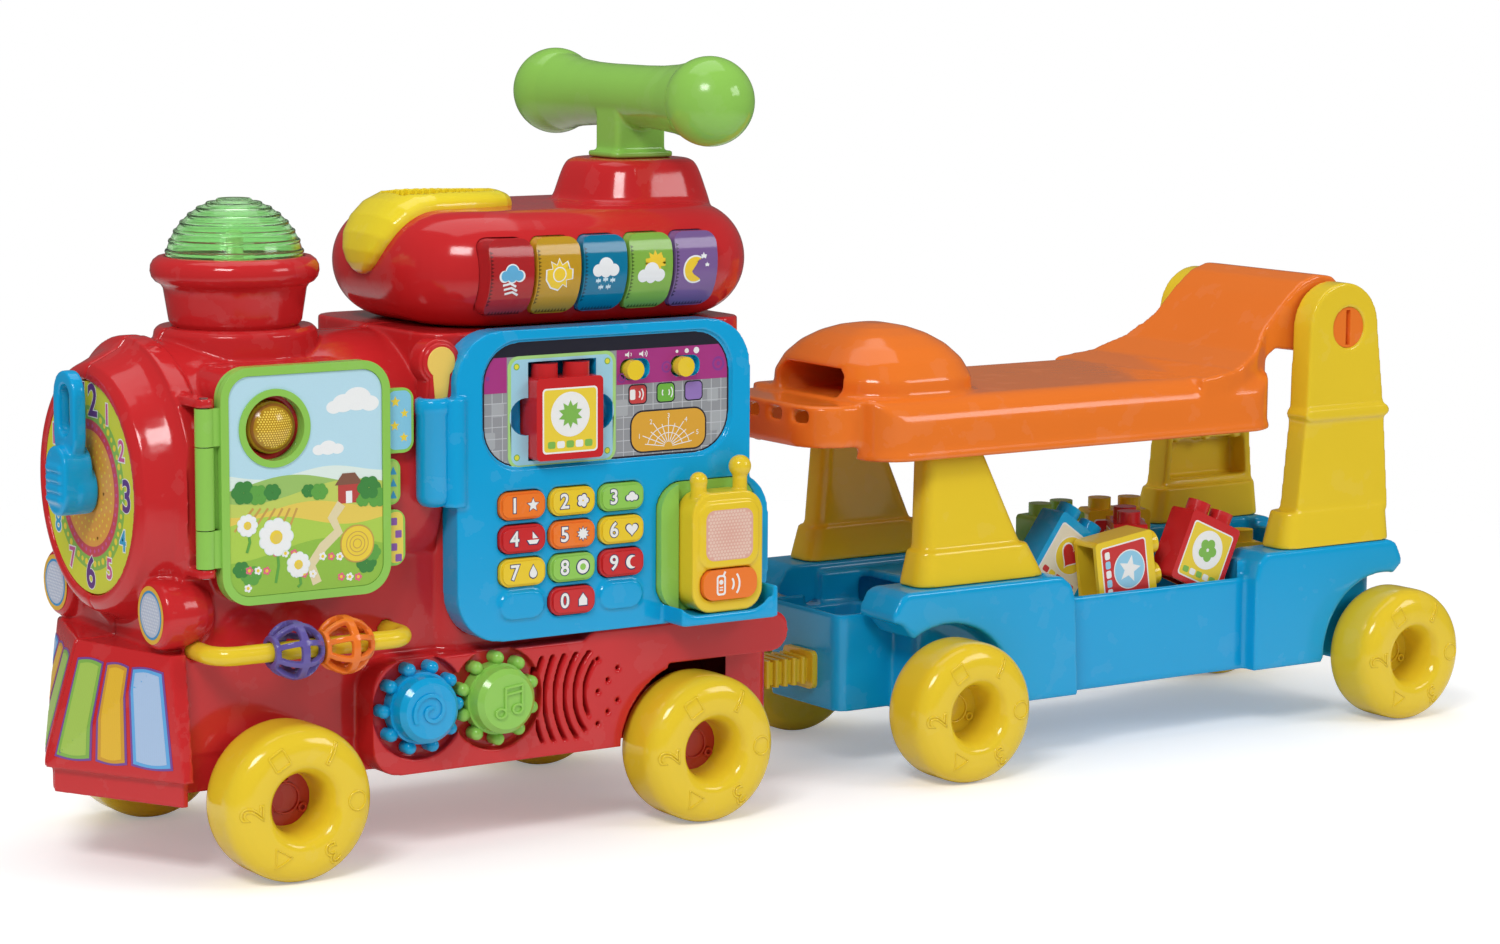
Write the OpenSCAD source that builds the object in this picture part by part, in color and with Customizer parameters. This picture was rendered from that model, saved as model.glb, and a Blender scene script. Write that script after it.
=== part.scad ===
// Ride-on train: a loco with play panels and a seat wagon hitched behind it.
// Millimetres. Front is -X, the panel side is -Y, the floor is Z = 0.

/* [Overall] */
// Wheel diameter
wheel_d = 92; // [84:1:100]
// Wheel width
wheel_w = 44; // [36:1:48]
// Distance over the outer wheel faces
track_w = 239; // [225:1:255]
// Distance from the loco front axle to the nose
nose_len = 108; // [100:1:116]
// Distance between the loco axles
loco_wheelbase = 280; // [270:1:300]
// Distance from the loco rear axle to the wagon front axle
axle_gap = 202; // [196:1:220]
// Distance between the wagon axles
wagon_wheelbase = 380; // [370:1:410]

/* [Loco body] */
// Underside height of the body
base_z = 51; // [46:1:56]
// Height of the boiler axis
boiler_z = 221; // [216:1:226]
// Boiler radius
boiler_r = 84; // [80:1:88]
// Half width of the cab walls
cab_half_w = 78; // [74:1:82]
// Underside height of the roof
roof_z = 307; // [302:1:312]
// Roof height
roof_h = 69; // [64:1:74]
// Roof half width
roof_half_w = 87; // [82:1:92]
// Wall thickness of the body
wall = 5; // [3.5:0.5:7]
// Height of the push handle axis
grip_z = 440; // [430:1:460]
// Radius of the push handle ball ends
grip_ball_r = 27.4; // [24:0.2:30]

/* [Play panels] */
// Width of a book page
page_w = 108; // [96:1:112]
// Height of a book page
page_h = 136; // [128:1:140]
// Thickness of a book page
page_t = 3.2; // [2.4:0.2:4]
// Key width
key_w = 30; // [26:0.5:31]
// Distance between keys
key_pitch = 32.3; // [32:0.1:34]
// Width of a number button
button_w = 31; // [26:0.5:32]
// Height of a number button
button_h = 16.5; // [14:0.5:17.5]
// Travel of the buttons and keys
press = 2.5; // [1.5:0.5:3]
// Distance between the two gear axes
gear_pitch = 52; // [51:0.5:56]
// Bead radius
bead_r = 17.4; // [15:0.2:18]

/* [Wagon] */
// Height of the tub rim at the sides
tub_rim_z = 106; // [98:1:112]
// Underside height of the tub
tub_z = 42; // [38:1:48]
// Half width of the tub between the wheels
tub_half_w = 74; // [70:1:78]
// Height of the shoulders that carry the posts
shoulder_z = 123; // [118:1:128]
// Height of the seat's lower rim
seat_rim_z = 207; // [200:1:214]
// Height of the seat surface
seat_top_z = 246; // [238:1:252]
// Half width of the seat
seat_half_w = 81; // [74:1:82]
// Height of the seat pins
seat_pin_z = 274; // [268:1:280]
// Wall thickness of the tub
tub_wall = 4; // [3:0.5:6]

/* [Blocks] */
// Block width
block_w = 46; // [42:1:48]
// Block height without studs
block_h = 49; // [44:1:50]
// Block depth
block_d = 23; // [20:1:24]

/* [Clearances] */
// Running clearance of a shaft in its hole
run_gap = 0.06; // [0.02:0.01:0.1]
// Clearance round a sliding piece
slide_gap = 0.4; // [0.3:0.05:0.6]
// Clearance between pieces that lie next to each other
part_gap = 0.5; // [0.4:0.1:0.8]

/* [Show] */
// Sub-part to draw

/* [Hidden] */

red = [0.80, 0.07, 0.09];
blue = [0.05, 0.58, 0.83];
yellow = [0.96, 0.80, 0.08];
green = [0.45, 0.74, 0.20];
orange = [0.97, 0.50, 0.10];
purple = [0.36, 0.30, 0.66];
steel = [0.62, 0.63, 0.65];

wheel_r = wheel_d / 2;
overall_len = nose_len + loco_wheelbase + axle_gap + wagon_wheelbase + wheel_r;
front_axle_x = nose_len - overall_len / 2;
wagon_x = front_axle_x + loco_wheelbase + axle_gap;
seam = 0.05;
axle_r = 5;
wheel_in_y = track_w / 2 - wheel_w;
core_half_w = wheel_in_y - 4.5;
pod_half_w = core_half_w + 21;
skirt_half_w = min(core_half_w + 1, boiler_r - 12);
cab_x0 = 105;
cab_x1 = loco_wheelbase + 68;
cab_back_x = cab_x1 - 18;
roof_x0 = cab_x0 - 2;
roof_x1 = cab_back_x + 19;
roof_top = roof_z + roof_h;
chimney_x = 18;
pad_z = boiler_z + boiler_r + 6;
grip_x = loco_wheelbase + 12;
stem_x = 36;
stem_y = 27;
boss_z = roof_top + 26;
bed_y = -boiler_r - 0.6;
page_x0 = -38;
page_z0 = boiler_z + 7.5 - page_h / 2;
back_y = bed_y - part_gap;
front_y = back_y - page_t - part_gap;
pin_x = -46;
pin_y = front_y + 0.4;
pin_r = 2.5;
knuckle_r = 5.4;
pin_z0 = boiler_z - 43;
pin_z1 = boiler_z + 59;
lamp_x = -4;
lamp_z = boiler_z + 40;
key_x = 217;
key_z0 = roof_z + 9;
key_z1 = roof_z + 55;
key_back = -roof_half_w + 13;
panel_back = -cab_half_w - 0.4;
panel_y = panel_back - 18.6;
button_x = 189.5;
button_z = boiler_z - 16;
button_dx = 34.5;
button_dz = 20;
screen_z0 = boiler_z + 5;
screen_z1 = boiler_z + 82;
tray_x = 185;
tray_z = boiler_z + 10;
phone_x = 289;
phone_z = boiler_z - 90;
deck_z = phone_z - 7.6;
speaker_x = loco_wheelbase - 90;
phone_back = panel_y - 0.4;
gear_x = 89;
gear_z = 89.5;
gear_y = -pod_half_w + 6;
gear_tip = gear_pitch / 2 - 1.5;
bead_y = -track_w / 2 + bead_r + 0.6;
bead_z = boiler_z - 87;
rod_r = 5.5;
rod_x0 = -46;
rod_x1 = 78;
tow_x = cab_x1 + 24;
tow_r = 6;
sign_h = 0.8;
hitch_z = 57;
tow_dx = tow_x - loco_wheelbase - axle_gap;
bin_x = tow_dx + 54;
bin_floor_z = wheel_r + axle_r + 3;
shoulder_y = tub_half_w + 11;
post_y = seat_half_w - 19;
back_half_w = post_y - 2.4;
seat_pin_x = wagon_wheelbase - 35;
rear_x0 = wagon_wheelbase - 122;
tub_x0 = 97;
tub_x1 = rear_x0 + 4;
seat_under = seat_top_z - 7;

module at_loco() translate([front_axle_x, 0, 0]) children();
module at_wagon() translate([wagon_x, 0, 0]) children();

// Flat rounded rectangle from corner to corner
module rounded(x0, y0, x1, y1, r) {
  translate([x0 + r, y0]) square([x1 - x0 - 2 * r, y1 - y0]);
  translate([x0, y0 + r]) square([x1 - x0, y1 - y0 - 2 * r]);
  for (x = [x0 + r, x1 - r], y = [y0 + r, y1 - r])
    translate([x, y]) circle(r = r, $fn = 32);
}

// Solid between two heights from a plan shape
module plan(z0, z1) translate([0, 0, z0]) linear_extrude(z1 - z0) children();

// Solid between two Y values from a side shape drawn in X and Z
module side(y0, y1) translate([0, y1, 0]) rotate([90, 0, 0]) linear_extrude(y1 - y0) children();

// Solid between two X values from a section drawn in Y and Z
module along(x0, x1) translate([x0, 0, 0]) rotate([90, 0, 90]) linear_extrude(x1 - x0) children();

// Turned solids, with the profile drawn as radius and distance along the axis
module turn_x(y, z) translate([0, y, z]) rotate([0, 90, 0]) rotate_extrude($fn = 64) children();
module turn_y(x, z) translate([x, 0, z]) rotate([-90, 0, 0]) rotate_extrude($fn = 64) children();
module turn_z(x, y) translate([x, y, 0]) rotate_extrude($fn = 64) children();

module rod_y(x, z, r, y0, y1) translate([x, y1, z]) rotate([90, 0, 0]) cylinder(r = r, h = y1 - y0, $fn = 48);
module both_sides() {
  children();
  mirror([0, 1, 0]) children();
}

// Loco body, outer form
module body_outer() {
  turn_x(0, boiler_z) polygon([[0, -78], [67, -78], [72, -75], [74, -70], [80, -58], [boiler_r, -54],
    [boiler_r + 3, -53], [boiler_r + 3, -41], [boiler_r, -40], [boiler_r, cab_x0 + 5], [0, cab_x0 + 5]]);
  along(-53, cab_x0 + 8) rounded(-skirt_half_w, base_z + 19, skirt_half_w, boiler_z, 4);
  along(-62, -40) rounded(4 - skirt_half_w, base_z + 10, skirt_half_w - 4, boiler_z - 52, 12);
  side(bed_y, -40) rounded(page_x0 + 3, page_z0 + 3, page_x0 + page_w - 3, page_z0 + page_h - 3, 14);
  turn_z(chimney_x, 0) polygon([[0, boiler_z], [48, boiler_z], [48, pad_z - 3], [45, pad_z], [0, pad_z]]);
  plan(base_z + 50, roof_z - 0.1) rounded(cab_x0, -cab_half_w, cab_back_x, cab_half_w, 20);
  plan(base_z, deck_z) rounded(-61, -core_half_w, cab_x1 + 4, core_half_w, 10);
  difference() {
    side(-pod_half_w, pod_half_w) rounded(58, base_z - 1, speaker_x + 72, base_z + 67.5, 18);
    both_sides() rod_y(loco_wheelbase, wheel_r, wheel_r + 6, -150, 3 - wheel_in_y);
  }
  side(-pod_half_w, pod_half_w) rounded(speaker_x + 10, wheel_d + 6, cab_x1 + 3, base_z + 72.5, 12);
  for (a = [20 : 28 : 340]) translate([-47, 0, boiler_z]) rotate([a, 0, 0]) translate([0, 0, boiler_r + 2])
    sphere(r = 3, $fn = 24);
  both_sides() turn_x(-66, 155.5) polygon([[0, -70], [17, -70], [19.4, -68.4], [20.4, -65.6],
    [20.6, -58], [19.8, -50], [17.6, -43], [14, -37], [0, -33]]);
  hull() {
    plan(60, 61) polygon([[-nose_len, 0], [-60, -86], [-54, -86], [-54, 86], [-60, 86]]);
    plan(132, 133) polygon([[-nose_len + 21, 0], [-64, -78], [-54, -78], [-54, 78], [-64, 78]]);
  }
  plan(45, 61.5) polygon([[-nose_len + 5, 0], [-59, -80], [-55, -80], [-55, 80], [-59, 80]]);
}

// Loco body, hollow inside
module body_hollow() {
  translate([-55, 0, boiler_z]) rotate([0, 90, 0]) cylinder(r = boiler_r - wall - 2, h = 167, $fn = 64);
  translate([-66, 0, boiler_z]) rotate([0, 90, 0]) cylinder(r = boiler_r - wall - 13, h = 30, $fn = 64);
  translate([-46, wall - skirt_half_w, base_z + 40]) cube([170, 2 * (skirt_half_w - wall), boiler_z - base_z - 50]);
  plan(base_z + 30, roof_z - wall) rounded(cab_x0 + wall, wall - cab_half_w, cab_back_x - wall, cab_half_w - wall, 15);
  plan(base_z - 9, deck_z - wall) rounded(wall - 58, wall - core_half_w, cab_x1 - 1, core_half_w - wall, 6);
  side(12 - pod_half_w, pod_half_w - 12) rounded(64, base_z + 5, speaker_x + 32, base_z + 62, 10);
}

// Recesses that both halves need
module body_cuts() {
  translate([-79, 0, boiler_z]) rotate([0, 90, 0]) cylinder(r = 62.4, h = 8.6, $fn = 64);
  translate([-79, 0, boiler_z]) rotate([0, 90, 0]) cylinder(r = axle_r + run_gap, h = 30, $fn = 32);
  for (x = [0, loco_wheelbase]) translate([x - 10, -200, 20]) cube([20, 400, base_z - 20 + 6]);
  translate([cab_x1 - 12, -20, base_z - 5]) cube([30, 40, 13]);
}

module body_half(sign) {
  difference() {
    body_outer();
    body_hollow();
    body_cuts();
    translate([-200, sign > 0 ? -300 + seam : -seam, 0]) cube([700, 300, 500]);
  }
}

module shell_left() at_loco() color(red) {
  difference() {
    body_half(-1);
    translate([pin_x - 8, -120, pin_z0 + 5]) cube([18, 120 + bed_y + 3.4, pin_z1 - pin_z0 - 10]);
    translate([rod_x0 + 12, bead_y, bead_z]) rotate([0, 90, 0])
      cylinder(r = bead_r + 2, h = rod_x1 - rod_x0 - 24, $fn = 48);
    rod_y(lamp_x, lamp_z, 15 + slide_gap, -120, bed_y + 12);
    for (x = [gear_x, gear_x + gear_pitch]) {
      rod_y(x, gear_z, gear_tip + 6.5, -120, gear_y);
      rod_y(x, gear_z, 5 + run_gap, -120, gear_y + 5.5);
    }
    for (x = [rod_x0, rod_x1]) rod_y(x, bead_z, rod_r + 0.02, -100, 10 - skirt_half_w);
    for (i = [0 : 5]) side(-120, 13 - pod_half_w) intersection() {
      translate([speaker_x + 42, gear_z - 4]) difference() {
        circle(r = 66 - 7 * i, $fn = 96);
        circle(r = 63.4 - 7 * i, $fn = 96);
      }
      polygon([[speaker_x - 22, 58], [speaker_x + 10 + i, 58], [speaker_x + 16 + i, 112], [speaker_x - 22, 112]]);
    }
    for (i = [0 : 6]) side(-120, 13 - pod_half_w)
      translate([speaker_x + 22 + 7 * (i % 3), 66 + 6.6 * i]) for (a = [0, 60]) rotate(a) circle(r = 2.6, $fn = 3);
  }
  difference() {
    for (z = [pin_z0, pin_z1 - 5]) translate([0, 0, z]) {
      translate([pin_x, pin_y, 0]) cylinder(r = knuckle_r, h = 5, $fn = 32);
      translate([pin_x - knuckle_r, pin_y, 0]) cube([2 * knuckle_r, 22, 5]);
    }
    translate([pin_x, pin_y, pin_z0 - 1]) cylinder(r = pin_r + 0.02, h = pin_z1 - pin_z0 + 2, $fn = 32);
    body_hollow();
  }
}

module shell_right() at_loco() color(red) body_half(1);

module roof_form(grow, lift) {
  intersection() {
    along(roof_x0 - grow - 5, roof_x1 + grow + 5)
      rounded(-roof_half_w - grow - 1.5, roof_z, roof_half_w + grow + 1.5, roof_top + lift, 34);
    side(-roof_half_w - grow - 5, roof_half_w + grow + 5)
      rounded(roof_x0 - grow - 2, roof_z - 1, roof_x1 + grow + 2, roof_top + lift + 1, 34);
    plan(roof_z - 5, roof_top + 20)
      rounded(roof_x0 - grow, -roof_half_w - grow, roof_x1 + grow, roof_half_w + grow, 56);
  }
}

module roof_cover() at_loco() color(red) difference() {
  union() {
    roof_form(0, 0);
    turn_z(grip_x, 0) polygon([[0, roof_top - 8], [52, roof_top - 8], [50, roof_top], [44, roof_top + 8],
      [38, boss_z - 8], [35, boss_z - 2], [33, boss_z], [0, boss_z]]);
  }
  plan(roof_z - 2, roof_top - 6) rounded(roof_x0 + 34, -56, roof_x1 - 34, 56, 24);
  for (i = [-2 : 2]) translate([key_x + i * key_pitch - key_w / 2 - part_gap, -120, key_z0 - part_gap])
    cube([key_w + 2 * part_gap, 120 + key_back + press + 0.5, key_z1 - key_z0 + 2 * part_gap]);
  translate([grip_x - stem_x / 2 - 0.1, -stem_y / 2 - 0.1, roof_top - 6 + 4])
    cube([stem_x + 0.2, stem_y + 0.2, 60]);
}

module key(i) at_loco() intersection() {
  along(key_x + i * key_pitch - key_w / 2, key_x + i * key_pitch + key_w / 2)
    rounded(-roof_half_w - 5.5, roof_z + 2, roof_half_w, roof_top + 3, 34);
  side(-120, key_back) rounded(key_x + i * key_pitch - key_w / 2, key_z0,
    key_x + i * key_pitch + key_w / 2, key_z1, 7);
}
module key_1() color([0.78, 0.05, 0.10, 0.9]) key(-2);
module key_2() color([0.80, 0.62, 0.05, 0.9]) key(-1);
module key_3() color([0.02, 0.42, 0.66, 0.9]) key(0);
module key_4() color([0.36, 0.68, 0.16, 0.9]) key(1);
module key_5() color([0.36, 0.22, 0.52, 0.9]) key(2);

module chimney() at_loco() color(red) difference() {
  turn_z(chimney_x, 0) polygon([[0, pad_z + 0.05], [37, pad_z + 0.05], [39, pad_z + 3], [42, pad_z + 22], [43.5, pad_z + 24.4],
    [46.5, pad_z + 26], [48.6, pad_z + 28.6], [49.5, pad_z + 32], [49.2, pad_z + 35.4], [47.6, pad_z + 38.4],
    [45, pad_z + 40.4], [42, pad_z + 41], [41.2, pad_z + 40], [41.2, pad_z + 36], [0, pad_z + 36]]);
  turn_z(chimney_x, 0) polygon([[0, pad_z - 1], [34, pad_z - 1], [38.5, pad_z + 22], [38.5, pad_z + 32], [0, pad_z + 32]]);
}

module dome_lens() at_loco() color([0.30, 0.75, 0.30, 0.5]) difference() {
  turn_z(chimney_x, 0) intersection() {
    union() {
      translate([0, pad_z + 33.6]) circle(r = 41, $fn = 64);
      for (a = [14 : 9 : 78]) translate([40.3 * cos(a), pad_z + 33.6 + 40.3 * sin(a)]) circle(r = 1.5, $fn = 16);
    }
    translate([0, pad_z + 36.1]) square([41.1, 60]);
  }
  turn_z(chimney_x, 0) intersection() {
    translate([0, pad_z + 33.6]) circle(r = 38, $fn = 64);
    translate([0, pad_z + 30]) square([40, 60]);
  }
}

module dome_lamp() at_loco() color([0.95, 0.95, 0.85]) turn_z(chimney_x, 0) {
  translate([0, pad_z + 36.1]) square([12, 4]);
  translate([0, pad_z + 39]) square([5, 12]);
  intersection() {
    translate([0, pad_z + 51]) circle(r = 5, $fn = 32);
    translate([0, pad_z + 40]) square([6, 20]);
  }
}

// Side shape of the carry hood
module hood_shape() {
  polygon([[roof_x0 - 10, roof_z + 38], [roof_x0 + 2, roof_z + 34], [roof_x0 + 40, roof_top - 8],
    [roof_x0 + 98, roof_top - 8], [roof_x0 + 98, roof_top + 5], [roof_x0 + 96, roof_top + 9],
    [roof_x0 + 92, roof_top + 11.4], [roof_x0 + 86, roof_top + 12], [roof_x0 + 22, roof_top + 12],
    [roof_x0 + 12, roof_top + 10.4], [roof_x0 + 4, roof_top + 6], [roof_x0 - 3, roof_top - 2],
    [roof_x0 - 8, roof_top - 14]]);
}

module carry_handle() at_loco() color(yellow) difference() {
  intersection() {
    side(-30, 30) hood_shape();
    along(roof_x0 - 20, roof_x0 + 110) rounded(-30, roof_z - 20, 30, roof_top + 12, 9);
    plan(roof_z, roof_top + 20) {
      translate([roof_x0 + 20, 0]) circle(r = 30, $fn = 64);
      polygon([[roof_x0 + 17, -30], [roof_x0 + 78, -22], [roof_x0 + 78, 22], [roof_x0 + 17, 30]]);
      translate([roof_x0 + 76, 0]) circle(r = 22, $fn = 64);
    }
  }
  roof_form(0.15, 0.15);
  difference() {
    plan(roof_top + 5, roof_top + 20) rounded(roof_x0 + 14, -10, roof_x0 + 90, 10, 9.5);
    for (i = [1 : 12]) translate([roof_x0 + 14 + 5.8 * i - 0.9, -12, roof_top]) cube([1.8, 24, 9]);
  }
}

module push_handle() at_loco() color(green) {
  turn_y(grip_x, grip_z) intersection() {
    union() {
      for (y = [-90, 90]) translate([0, y]) circle(r = grip_ball_r, $fn = 64);
      polygon([[0, -90], [24, -76], [21.5, -60], [20, -40], [19.5, -20], [19.5, 20], [20, 40], [21.5, 60], [24, 76],
        [0, 90]]);
    }
    translate([0, -150]) square([60, 300]);
  }
  plan(roof_top - 1.9, grip_z - 6) rounded(grip_x - stem_x / 2, -stem_y / 2, grip_x + stem_x / 2, stem_y / 2, 3);
  plan(boss_z + 0.05, boss_z + 4) rounded(grip_x - 22, -18, grip_x + 22, 18, 5);
}

module clock_dial() at_loco() color([0.95, 0.88, 0.45]) difference() {
  translate([-76.4, 0, boiler_z]) rotate([0, 90, 0]) cylinder(r = 62, h = 5.9, $fn = 64);
  translate([-80, 0, boiler_z]) rotate([0, 90, 0]) cylinder(r = axle_r + run_gap, h = 20, $fn = 32);
}

module clock_hand() at_loco() color(blue) {
  translate([-82, 0, boiler_z]) rotate([0, 90, 0]) cylinder(r = axle_r, h = 32, $fn = 32);
  translate([-78, 0, boiler_z]) rotate([0, 90, 0]) translate([0, 0, -10]) cylinder(r = 15, h = 11, $fn = 48);
  along(-98, -80) rounded(-14, boiler_z - 15, 14, boiler_z + 26, 13.9);
  for (i = [0 : 3]) along(-100, -97) rounded(-10, boiler_z - 7 + 6 * i, 10, boiler_z - 3 + 6 * i, 1.9);
  difference() {
    along(-92, -84) rounded(-14.5, boiler_z + 16, 14.5, boiler_z + 69, 14.4);
    along(-96, -80) rounded(-7.5, boiler_z + 31, 7.5, boiler_z + 61, 7.4);
  }
}

module page_pin() at_loco() color(steel)
  translate([pin_x, pin_y, pin_z0 - 0.5]) cylinder(r = pin_r, h = pin_z1 - pin_z0 + 1, $fn = 32);

// Page plate with its window, hinge leaf and knuckles
module page(y_out, x1, spans) {
  difference() {
    union() {
      side(y_out, y_out + page_t) rounded(page_x0, page_z0, x1, page_z0 + page_h, 18);
      for (s = spans) {
        translate([pin_x, pin_y, s[0]]) cylinder(r = knuckle_r, h = s[1] - s[0], $fn = 32);
        translate([pin_x, y_out, s[0]]) cube([page_x0 + 24 - pin_x, page_t, s[1] - s[0]]);
      }
      children();
    }
    rod_y(lamp_x, lamp_z, 18.5, -150, 0);
    for (s = spans) translate([pin_x, pin_y, s[0] - 1]) cylinder(r = pin_r + run_gap, h = s[1] - s[0] + 2, $fn = 32);
  }
}

module page_front() at_loco() color(green)
  page(front_y - page_t, page_x0 + page_w, [[pin_z0 + 5.5, pin_z0 + 27], [pin_z1 - 27, pin_z1 - 5.5]]) {
    difference() {
      side(front_y - page_t - 1.4, front_y - 1) rounded(page_x0, page_z0, page_x0 + page_w, page_z0 + page_h, 18);
      side(-150, 0) rounded(page_x0 + 5, page_z0 + 5, page_x0 + page_w - 5, page_z0 + page_h - 5, 13);
    }
    rod_y(lamp_x, lamp_z, 22.5, front_y - page_t - 1.4, front_y - 1);
  }

module page_back() at_loco() color(green)
  page(back_y - page_t, page_x0 + page_w, [[pin_z0 + 27.6, pin_z1 - 27.6]]) {
    side(back_y - page_t, back_y)
      rounded(page_x0 + page_w - 30, page_z0 + 80, page_x0 + page_w + 18, page_z0 + 118, 7);
    side(back_y - page_t, back_y)
      rounded(page_x0 + page_w - 30, page_z0 + 50, page_x0 + page_w + 9, page_z0 + 77, 6);
    side(back_y - page_t, back_y)
      rounded(page_x0 + page_w - 30, page_z0 + 14, page_x0 + page_w + 12, page_z0 + 47, 7);
  }

module light_button() at_loco() color([0.90, 0.62, 0.08, 0.7]) intersection() {
  rod_y(lamp_x, lamp_z, 15, -120, bed_y + 12 - press - 0.5);
  translate([lamp_x, bed_y + 9, lamp_z]) sphere(r = 19.5, $fn = 64);
}

// Outline of the telephone panel
module panel_outline() {
  rounded(112, phone_z - 7, 318, roof_z + 2, 30);
  rounded(236, phone_z - 7, 332, phone_z + 82, 26);
}

module phone_panel() at_loco() color(blue) difference() {
  union() {
    side(panel_y, panel_back) panel_outline();
    translate([112, -boiler_r - 8.6, boiler_z - 14]) cylinder(r = 8, h = 64, $fn = 48);
    side(phone_back - 20, panel_back) rounded(phone_x - 34, phone_z - 6, phone_x + 36, phone_z, 3);
    side(phone_back - 21.4, phone_back - 19.4) rounded(phone_x - 34, phone_z - 6, phone_x + 36, phone_z + 7, 3);
    for (s = [-1, 1]) side(phone_back - 21.4, panel_back)
      rounded(phone_x + 1 + 33.5 * s - 1.6, phone_z - 6, phone_x + 1 + 33.5 * s + 1.6, phone_z + 14, 1.5);
    for (s = [-1, 1]) side(panel_y - 2, panel_back)
      rounded(button_x + s * button_dx - 15, button_z - 3 * button_dz - 8, button_x + s * button_dx + 15,
        button_z - 3 * button_dz + 8, 7);
  }
  side(-150, panel_y + 2.5) rounded(129, screen_z0, 305, screen_z1, 26);
  side(-150, panel_back - 2) rounded(tray_x - block_w / 2 - part_gap, tray_z - part_gap,
    tray_x + block_w / 2 + part_gap, tray_z + block_h + 9, 1);
  for (s = [-1, 1]) rod_y(tray_x + s * (block_w / 2 + 2), tray_z + 26, 11, -150, panel_back - 8);
  for (i = [0 : 9]) button_place(i) side(-150, panel_y + 11)
    rounded(-button_w / 2 - slide_gap, -button_h / 2 - slide_gap, button_w / 2 + slide_gap,
      button_h / 2 + slide_gap, 7);
  for (x = [233, 269]) side(-150, panel_y + 9) rounded(x - 7 - slide_gap, tray_z + 44, x + 13 + slide_gap,
    tray_z + 56, 5);
  side(-150, panel_y + 5) rounded(phone_x - 39, phone_z + 0.1, phone_x + 33, phone_z + 80, 18);
}

// Place of a number button, three to a row with the zero below
module button_place(i) {
  col = i == 0 ? 0 : (i - 1) % 3 - 1;
  row = i == 0 ? 3 : floor((i - 1) / 3);
  translate([button_x + col * button_dx, 0, button_z - row * button_dz]) children();
}

module button(i) at_loco() button_place(i) {
  side(panel_y - 2, panel_y + 11 - press - 0.5)
    rounded(-button_w / 2, -button_h / 2, button_w / 2, button_h / 2, 6.5);
  side(panel_y - 3.4, panel_y)
    rounded(1.5 - button_w / 2, 1.5 - button_h / 2, button_w / 2 - 1.5, button_h / 2 - 1.5, 5);
}
module button_0() color(red) button(0);
module button_1() color(orange) button(1);
module button_2() color(yellow) button(2);
module button_3() color(green) button(3);
module button_4() color(red) button(4);
module button_5() color(orange) button(5);
module button_6() color(yellow) button(6);
module button_7() color(yellow) button(7);
module button_8() color(green) button(8);
module button_9() color(red) button(9);

// Switch knob at the left end of its slot
module switch(x) at_loco() {
  rod_y(x, tray_z + 50, 5.3, panel_y - 3.5, panel_y + 8.6);
  rod_y(x, tray_z + 50, 6, panel_y - 3.5, panel_y - 0.8 + 2.5);
}
module volume_switch() color(yellow) switch(233);
module mode_switch() color(yellow) switch(269);

// One stacking block with two studs, standing on its end
module block() difference() {
  union() {
    side(-block_d / 2, block_d / 2) rounded(-block_w / 2, 0, block_w / 2, block_h, 3);
    for (x = [-11, 11]) translate([x, 0, block_h - 1]) cylinder(r = 8, h = 9, $fn = 32);
  }
  side(3 - block_d / 2, block_d / 2 - 3) rounded(3 - block_w / 2, -4, block_w / 2 - 3, block_h - 4, 2);
}

module tray_block() at_loco() color(red)
  translate([tray_x, panel_back - 2.4 - block_d / 2, tray_z]) block();

module handset_cradle() at_loco() color(green) difference() {
  side(panel_y - 5, panel_y + 4.9) rounded(phone_x - 38.6, phone_z + 0.4, phone_x + 32.6, phone_z + 79.6, 17.6);
  side(-150, panel_y) translate([0, -30])
    rounded(phone_x - 26, phone_z, phone_x + 60, phone_z + 160, 8);
}

module handset() at_loco() color(yellow) difference() {
  union() {
    side(phone_back - 19, phone_back) rounded(phone_x - 25, phone_z + 0.3, phone_x + 26, phone_z + 74, 14);
    side(phone_back - 20.6, phone_back - 12) rounded(phone_x - 21, phone_z + 28, phone_x + 22, phone_z + 68, 9);
    translate([phone_x + 14, phone_back - 11, phone_z + 66]) cylinder(r = 4.5, h = 22, $fn = 32);
    translate([phone_x + 14, phone_back - 11, phone_z + 88]) sphere(r = 7, $fn = 32);
    translate([phone_x - 16, phone_back - 11, phone_z + 66]) cylinder(r = 5, h = 15, $fn = 32);
    translate([phone_x - 16, phone_back - 11, phone_z + 81]) sphere(r = 5.6, $fn = 32);
  }
  side(-150, phone_back - 14) rounded(phone_x - 19 - slide_gap, phone_z + 8.5 - slide_gap,
    phone_x + 20 + slide_gap, phone_z + 27 + slide_gap, 8);
}

module handset_button() at_loco() color(orange)
  side(phone_back - 21.6, phone_back - 14 - press)
    rounded(phone_x - 19, phone_z + 8.5, phone_x + 20, phone_z + 27, 7.6);

module bead_rod() at_loco() color(yellow) {
  bend = 14;
  for (x = [rod_x0, rod_x1]) rod_y(x, bead_z, rod_r, bead_y + bend, 10 - skirt_half_w);
  translate([rod_x0 + bend, bead_y, bead_z]) rotate([0, 90, 0])
    cylinder(r = rod_r, h = rod_x1 - rod_x0 - 2 * bend, $fn = 32);
  translate([rod_x0 + bend, bead_y + bend, bead_z]) rotate([0, 0, 180])
    rotate_extrude(angle = 90, $fn = 64) translate([bend, 0]) circle(r = rod_r, $fn = 32);
  translate([rod_x1 - bend, bead_y + bend, bead_z]) rotate([0, 0, 270])
    rotate_extrude(angle = 90, $fn = 64) translate([bend, 0]) circle(r = rod_r, $fn = 32);
}

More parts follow.
